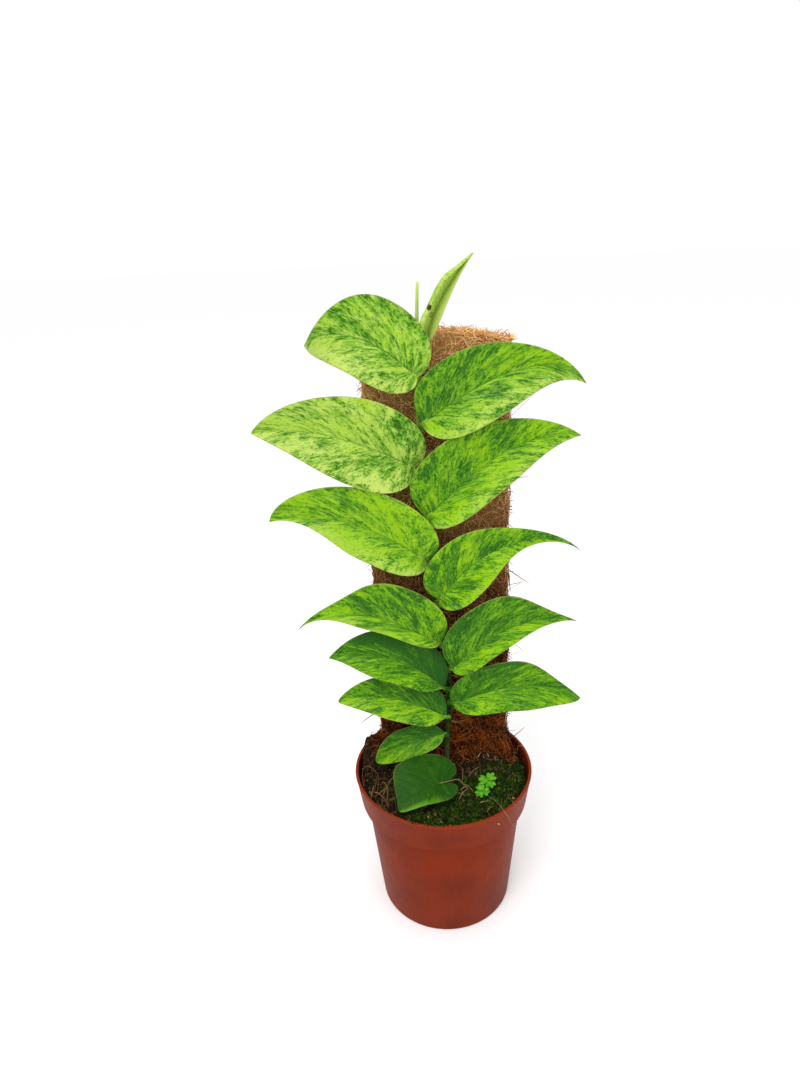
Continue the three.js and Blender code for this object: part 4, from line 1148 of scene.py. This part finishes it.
def makeLoops():
    rng = np.random.default_rng(loops["seed"])
    share = np.linspace(0, 1, loops["steps"])
    arch = np.sin(np.pi * share)
    rows = []
    for (fromX, fromY), (toX, toY), rise, (swingX, swingY) in loops["arches"]:
        x = fromX + (toX - fromX) * share + swingX * arch + 0.5 * np.sin(9 * share)
        y = fromY + (toY - fromY) * share + swingY * arch
        path = np.c_[x, y, groundHeight(x, y) - loops["buried"] + (rise + loops["buried"]) * arch]
        rows.append((path, loops["radius"] * (1 + 0.12 * np.sin(17 * share)), loops["tone"]))
    for pixels in loops["traced"]:
        path = smoothLine([onGround(pixel, loops["tracedLift"]) for pixel in pixels], loops["steps"])
        path[:, 2] -= loops["tracedLift"] * np.abs(2 * share - 1) ** 4
        path[:, :2] *= np.minimum(1, loops["tracedReach"] / np.hypot(path[:, 0], path[:, 1]))[:, None]
        rows.append((path, loops["tracedRadius"], rng.uniform(*loops["tracedTone"])))
    for _ in range(loops["thinCount"]):
        angle = rng.uniform(*loops["thinAngle"])
        radius = rng.uniform(*loops["thinPlace"])
        heading = angle + rng.normal(np.pi / 2, 0.8)
        along = rng.uniform(*loops["thinLength"]) * share
        bend = rng.normal(0, loops["thinSwing"]) * arch
        x = radius * np.cos(angle) + along * np.cos(heading) + bend * np.sin(heading)
        y = radius * np.sin(angle) + along * np.sin(heading) - bend * np.cos(heading)
        away = np.minimum(1, loops["thinReach"] / np.hypot(x, y))
        x, y = x * away, y * away
        path = np.c_[x, y, groundHeight(x, y) + 0.8 + rng.uniform(*loops["thinRise"]) * arch]
        radius = rng.uniform(*loops["thinRadius"]) * (1 - 0.4 * share)
        rows.append((path, radius, rng.uniform(*loops["thinTone"])))
    return smooth(strands("soil_roots", rows))


# Crumbs and moss strewn on the soil, and a few crumbs on the rim where the photograph's pixels show them
litter = {
    "crumbs": 1500, "crumbSize": (0.35, 1), "crumbSides": ((0.7, 1.5), (0.7, 1.2), (0.5, 0.9)),
    "tufts": 2600, "tuftHeight": (0.9, 2.2), "leaflets": 5, "leafletRadius": 0.3, "leafletWidth": (0.7, 1.5),
    "leafletSpread": 0.5, "leafletLean": 0.8, "seed": 5, "reach": 60.5, "boardHalf": (49, 13.5),
    "rimPixels": ((406, 827), (409, 828), (434, 829), (438, 829)), "rimCrumbs": 5,
    "rimInset": (0.2, 1.6), "rimSize": (0.3, 0.9),
}


# Places on the open soil, thicker where shareAt says so
def strewn(rng, shareAt, count):
    places = []
    halfWidth, halfDepth = litter["boardHalf"]
    while len(places) < count:
        radius = litter["reach"] * math.sqrt(rng.uniform())
        angle = rng.uniform(0, 2 * np.pi)
        x, y = radius * math.cos(angle), radius * math.sin(angle)
        underBoard = abs(x - board["x"]) < halfWidth and abs(y - board["y"]) < halfDepth
        if not underBoard and rng.uniform() < shareAt(x, y):
            places.append((x, y, float(groundHeight(x, y))))
    return places


def turned(place, size, rng, lean=0.5):
    spin = Matrix.Rotation(rng.uniform(0, 2 * math.pi), 4, "Z")
    tilt = Matrix.Rotation(rng.normal(0, lean), 4, "X")
    return np.array(Matrix.Translation(Vector(place) * mm) @ spin @ tilt @ Matrix.Diagonal((*size, 1)))


def makeCrumbs():
    rng = np.random.default_rng(litter["seed"])
    shape = added(bpy.ops.mesh.primitive_ico_sphere_add, subdivisions=1, radius=mm)
    matrices = []
    for x, y, z in strewn(rng, lambda x, y: 1 - 0.75 * float(mossShare(x, y)), litter["crumbs"]):
        grain = rng.uniform(*litter["crumbSize"]) ** 1.5 * 1.5
        size = [grain * rng.uniform(*span) for span in litter["crumbSides"]]
        matrices.append(turned((x, y, z + 0.9), size, rng))
    for pixel in litter["rimPixels"]:
        x, y, z = onLevel(pixel, pot["height"])
        for _ in range(litter["rimCrumbs"]):
            angle = math.atan2(y, x) + rng.normal(0, 0.03)
            out = pot["rimRadius"] - rng.uniform(*litter["rimInset"])
            place = (out * math.cos(angle), out * math.sin(angle), pot["height"] + 0.2)
            matrices.append(turned(place, rng.uniform(*litter["rimSize"], 3), rng))
    return scattered("soil_crumbs", shape, matrices, rng.uniform(0, 1, len(matrices)))


# Moss: tufts of small pointed leaves that stand up and out from one root.
def makeMoss():
    rng = np.random.default_rng(litter["seed"] + 1)
    shape = added(bpy.ops.mesh.primitive_cone_add, vertices=3, radius1=litter["leafletRadius"] * mm,
                  depth=mm, location=(0, 0, 0.5 * mm))
    bpy.ops.object.transform_apply(location=True, rotation=True, scale=True)
    apply(shape, "TRIANGULATE")
    matrices, tones = [], []
    for x, y, z in strewn(rng, lambda x, y: float(mossShare(x, y)) ** 1.5, litter["tufts"]):
        tone = rng.uniform()
        tall = rng.uniform(*litter["tuftHeight"])
        for _ in range(litter["leaflets"]):
            offX, offY = rng.normal(0, litter["leafletSpread"], 2)
            place = (x + offX, y + offY, z + 0.3 + rng.uniform(0, 0.7))
            width = rng.uniform(*litter["leafletWidth"])
            matrices.append(turned(place, (width, 0.6 * width, tall), rng, litter["leafletLean"]))
            tones.append(np.clip(tone + rng.normal(0, 0.15), 0, 1))
    return scattered("moss_tufts", shape, matrices, tones)


# Larger litter, each placed by the pixels of the photograph that it starts at, bends over and ends at,
# with its radius and tone; a line has its arch too, and a chip its size and tone.
straws = {
    "overRim": (((488, 796), (505, 812.5), (514, 827), 0.24, 0.4),
                ((506, 798), (514, 804), (518.5, 809), 0.2, 0.3)),
    "lines": (((480, 802.5), (501.5, 801.3), 0.35, 0.45, 1.2), ((462.5, 782), (463, 768), 0.3, 0.5, 2.5),
              ((469, 776), (479, 767), 0.28, 0.65, 1.5), ((443, 755), (469, 746), 0.3, 0.35, 2),
              ((502, 755), (523, 755), 0.25, 0.35, 2), ((505, 740), (515, 740), 0.25, 0.35, 1.5),
              ((460, 790), (470, 786), 0.35, 0.55, 1), ((456, 793), (466, 796), 0.3, 0.65, 1),
              ((463, 784), (473, 791), 0.28, 0.5, 1.5), ((459, 799), (467, 789), 0.22, 0.45, 1),
              ((393.5, 777), (382, 798), 0.28, 0.65, 2), ((374, 786), (370, 804), 0.25, 0.45, 2),
              ((487, 812), (491, 807), 0.22, 0.6, 0.8), ((476, 799), (482, 793), 0.22, 0.55, 1),
              ((478, 757), (484, 750.5), 0.42, 0.9, 1.5), ((484, 750.5), (488, 756), 0.38, 0.7, 1)),
    "chips": (((488, 755), 1.7, 0.3), ((484, 757), 1.2, 0.2), ((513, 798), 1.3, 0.75), ((395, 820), 1.7, 0.9),
              ((428, 817), 1.4, 0.7), ((463, 792), 0.9, 0.8), ((467, 790), 0.8, 0.7), ((459, 795), 0.8, 0.9),
              ((441, 822), 1.1, 0.4), ((404, 812), 1.0, 0.3), ((515, 780), 0.8, 0.75)),
    "bandChip": ((499, 824), 1.1, 0.8), "petioleFoot": (469, 790), "petioleRadius": 0.4, "petioleTone": 0.35,
    "above": 1.2, "chipAbove": 1.1, "steps": 14, "rimStart": 60, "seed": 12,
}


def makeStraws():
    share = np.linspace(0, 1, straws["steps"])
    arch = np.sin(np.pi * share)[:, None]
    rows = []
    for start, end, radius, tone, rise in straws["lines"]:
        first, last = onGround(start, straws["above"]), onGround(end, straws["above"])
        path = first + (last - first) * share[:, None] + np.array([0, 0, rise]) * arch
        path[:, 2] = np.maximum(path[:, 2], groundHeight(path[:, 0], path[:, 1]) + 0.9)
        over = np.hypot(path[:, 0], path[:, 1]) > straws["rimStart"]
        path[over, 2] = np.maximum(path[over, 2], pot["height"] + 0.7)
        rows.append((path, radius * (1 - 0.3 * share), tone))
    for start, edge, end, radius, tone in straws["overRim"]:
        first, lip = onGround(start, straws["above"]), onLevel(edge, pot["height"] + 0.9)
        path = smoothLine([first, (first + lip) / 2 + (0, 0, 2), lip, onBand(end)], straws["steps"])
        rows.append((path, radius * (1 - 0.3 * share), tone))
    # The lowest leaf's own dry stalk comes out between its lobes and bends down to the soil.
    point, along, across, out = (rows[0] for rows in midribFrames(leaves[-1]))
    course = [point + along * 4 + out * 0.9, point - along * 4 + out * 1.3, point - along * 10 + out * 1.2]
    path = smoothLine([*course, onGround(straws["petioleFoot"])], straws["steps"])
    rows.append((path, straws["petioleRadius"] * (0.8 + 0.2 * share), straws["petioleTone"]))
    return smooth(strands("straw_and_twigs", rows))


def makeChips():
    rng = np.random.default_rng(straws["seed"])
    shape = added(bpy.ops.mesh.primitive_ico_sphere_add, subdivisions=2, radius=mm)
    places = coordinates(shape)
    ragged = 0.75 + 0.35 * np.sin(places @ (4100, 3300, 2700))[:, None]
    setCoordinates(shape, places * (1, 0.55, 0.4) * ragged)
    matrices = [turned(onGround(pixel, straws["chipAbove"]), (size,) * 3, rng)
                for pixel, size, tone in straws["chips"]]
    pixel, size, tone = straws["bandChip"]
    matrices.append(turned(onBand(pixel), (size,) * 3, rng))
    return scattered("bark_chips", shape, matrices, [chip[2] for chip in straws["chips"]] + [tone])


# Seedlings: on a thin stalk, leaflets cut into round lobes. Each place: across, back, height, reach, turn.
seedlings = {
    "places": ((31.3, -18.6, 7, 6.6, 20), (25.8, -28.1, 5, 5.4, 75)),
    "leaflets": 3, "spread": 1.85, "teeth": 3, "toothDepth": 0.34, "thickness": 0.35, "slope": 0.42,
    "columns": 8, "rows": 36, "stalkRadius": 0.45, "steps": 20,
    "bright": (98, 168, 34), "deep": (56, 130, 20),
}


def makeSeedling(name, x, y, height, reach, turn):
    floor = float(groundHeight(x, y))
    pieces = []
    for k in range(seedlings["leaflets"]):
        angle = math.radians(turn) + 2 * math.pi * (k + 0.25) / seedlings["leaflets"]

        # A fan with a lobed outer edge
        def place(u, v):
            fan = angle + (v - 0.5) * seedlings["spread"]
            lobes = np.cos(np.pi * seedlings["teeth"] * (v - 0.5))
            edge = 1 - seedlings["toothDepth"] * (1 - np.abs(lobes) ** 0.7)
            corner = 1 - 0.3 * u * np.abs(2 * v - 1) ** 3
            radius = reach * (0.05 + 1.05 * u) * (1 - u ** 2 * (1 - edge)) * corner
            away = 0.85 * radius * np.sin(fan)
            cup = 1.2 * u ** 2 - 0.8 * u + 0.3 * lobes * u
            tall = floor + height + 0.4 + cup + away * seedlings["slope"]
            return np.c_[x + radius * np.cos(fan), y + away, tall]

        leaflet, u, v = bentGrid(f"{name}_leaflet_{k}", seedlings["columns"], seedlings["rows"], place)
        closed(leaflet)
        apply(leaflet, "SOLIDIFY", thickness=seedlings["thickness"] * mm, offset=0)
        pieces.append(leaflet)
    course = [(x - 1, y + 2, floor - 3), (x - 0.5, y + 1, floor + height / 2), (x, y, floor + height + 0.3)]
    line = smoothLine(course, seedlings["steps"])
    radius = np.full(seedlings["steps"], seedlings["stalkRadius"])
    share = np.linspace(0, 1, seedlings["steps"])
    stalkPiece, u, v = rod(name + "_stalk", line, share, radius, radius, (0, -1, 0.1), 8)
    return smooth(joined(name, [*pieces, closed(stalkPiece)]))


def seedlingFinish():
    finish, place = newFinish("seedling leaf")
    mottled = place.mottle(2.5, 3, 0.6)
    colour = mottled.between(0.35, 0.7).mix(seedlings["bright"], seedlings["deep"])
    return connected(finish, colour, mottled * 0.15 + 0.45, mottled.bump(0.3, 0.3))


# Studio: a pale floor, an even pale surround and two soft lamps, each by its place, size and power.
studio = {
    "floorSize": 24, "floorColour": (0.99, 0.99, 0.99, 1), "surround": (1, 1, 1, 1), "surroundStrength": 1.0,
    "lamps": (((-0.35, -0.75, 1.35), 0.6, 9), ((0.7, -0.8, 0.7), 0.8, 1.5)),
    "aim": (0, 0, 0.24),
}


def addStudio():
    bpy.ops.mesh.primitive_plane_add(size=studio["floorSize"])
    floor = bpy.context.object
    floor.name = "studio_floor"
    finish, place = newFinish("pale floor", shine=0)
    shaderInputs(finish)["Base Color"].default_value = studio["floorColour"]
    shaderInputs(finish)["Roughness"].default_value = 1
    floor.data.materials.append(finish)
    world = bpy.data.worlds.new("surround")
    world.use_nodes = True
    background = world.node_tree.nodes["Background"]
    background.inputs["Color"].default_value = studio["surround"]
    background.inputs["Strength"].default_value = studio["surroundStrength"]
    bpy.context.scene.world = world
    bpy.context.scene.view_settings.view_transform = "Standard"
    for place, size, power in studio["lamps"]:
        bpy.ops.object.light_add(type="AREA", location=place)
        lamp = bpy.context.object
        lamp.data.size = size
        lamp.data.energy = power
        lamp.rotation_euler = (Vector(studio["aim"]) - Vector(place)).to_track_quat("-Z", "Y").to_euler()


dress(makePot(), potFinish(), "pot", "pot")
print("pot made")

soilPiece = makeSoil()
across, back, upward = coordinates(soilPiece).T / mm
setAttribute(soilPiece, "mossy", mossShare(across, back))
dress(soilPiece, soilFinish(), "soil", "soil")
dress(makeCrumbs(), tonedFinish("soil crumb"), "soil")
dress(makeMoss(), tonedFinish("moss leaf"), "soil")
print("soil and moss made")

dress(makeCoir(), coirFinish(), "coir", "board_coir")
fibreSkin = fibreFinish()
rng = np.random.default_rng(fibres["seed"])
dress(fibreStrands("coir_fibres_back", fibrePaths(fibres["back"], rng, (0, 0.5)), rng), fibreSkin, "coir")
dress(fibreStrands("coir_fibres_front", fibrePaths(fibres["front"], rng, (0.5, 1)), rng), fibreSkin, "coir")
dress(fibreStrands("coir_wisps", wispPaths(rng), rng), fibreSkin, "coir")
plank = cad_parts["board_plank"]
plank.data.materials.clear()
plank.data.materials.append(plankFinish())
print("board made")

dress(makeStem(), stemFinish(), "stem", "stem")
rootSkin = tonedFinish("root bark")
dress(gripRoots(), rootSkin, "root")
darkLeaves = leaves[11:]
for leaf in leaves:
    dress(makeLeaf(leaf), leafFinish(leaf), "dark_leaf" if leaf in darkLeaves else "leaf", leaf["name"])
youngLeaf = makeLeaf(newLeaf)
scorch = [(onPiece(youngLeaf, pixel), *size) for pixel, *size in newLeafSpots]
dress(youngLeaf, leafFinish(newLeaf, scorch), "young_leaf", "new_leaf")
dress(makeShootTip(), shootFinish(), "young_leaf", "shoot_tip")
print("leaves made")

dress(makeLoops(), rootSkin, "root", "surface_roots")
strawSkin = tonedFinish("dry straw")
dress(makeStraws(), strawSkin, "root")
dress(makeChips(), strawSkin, "root")
seedlingSkin = seedlingFinish()
for number, sprout in enumerate(seedlings["places"], 1):
    dress(makeSeedling(f"seedling_plant_{number}", *sprout), seedlingSkin, "seedling", f"seedling_{number}")
print("small growth and litter made")

addStudio()
deselect()
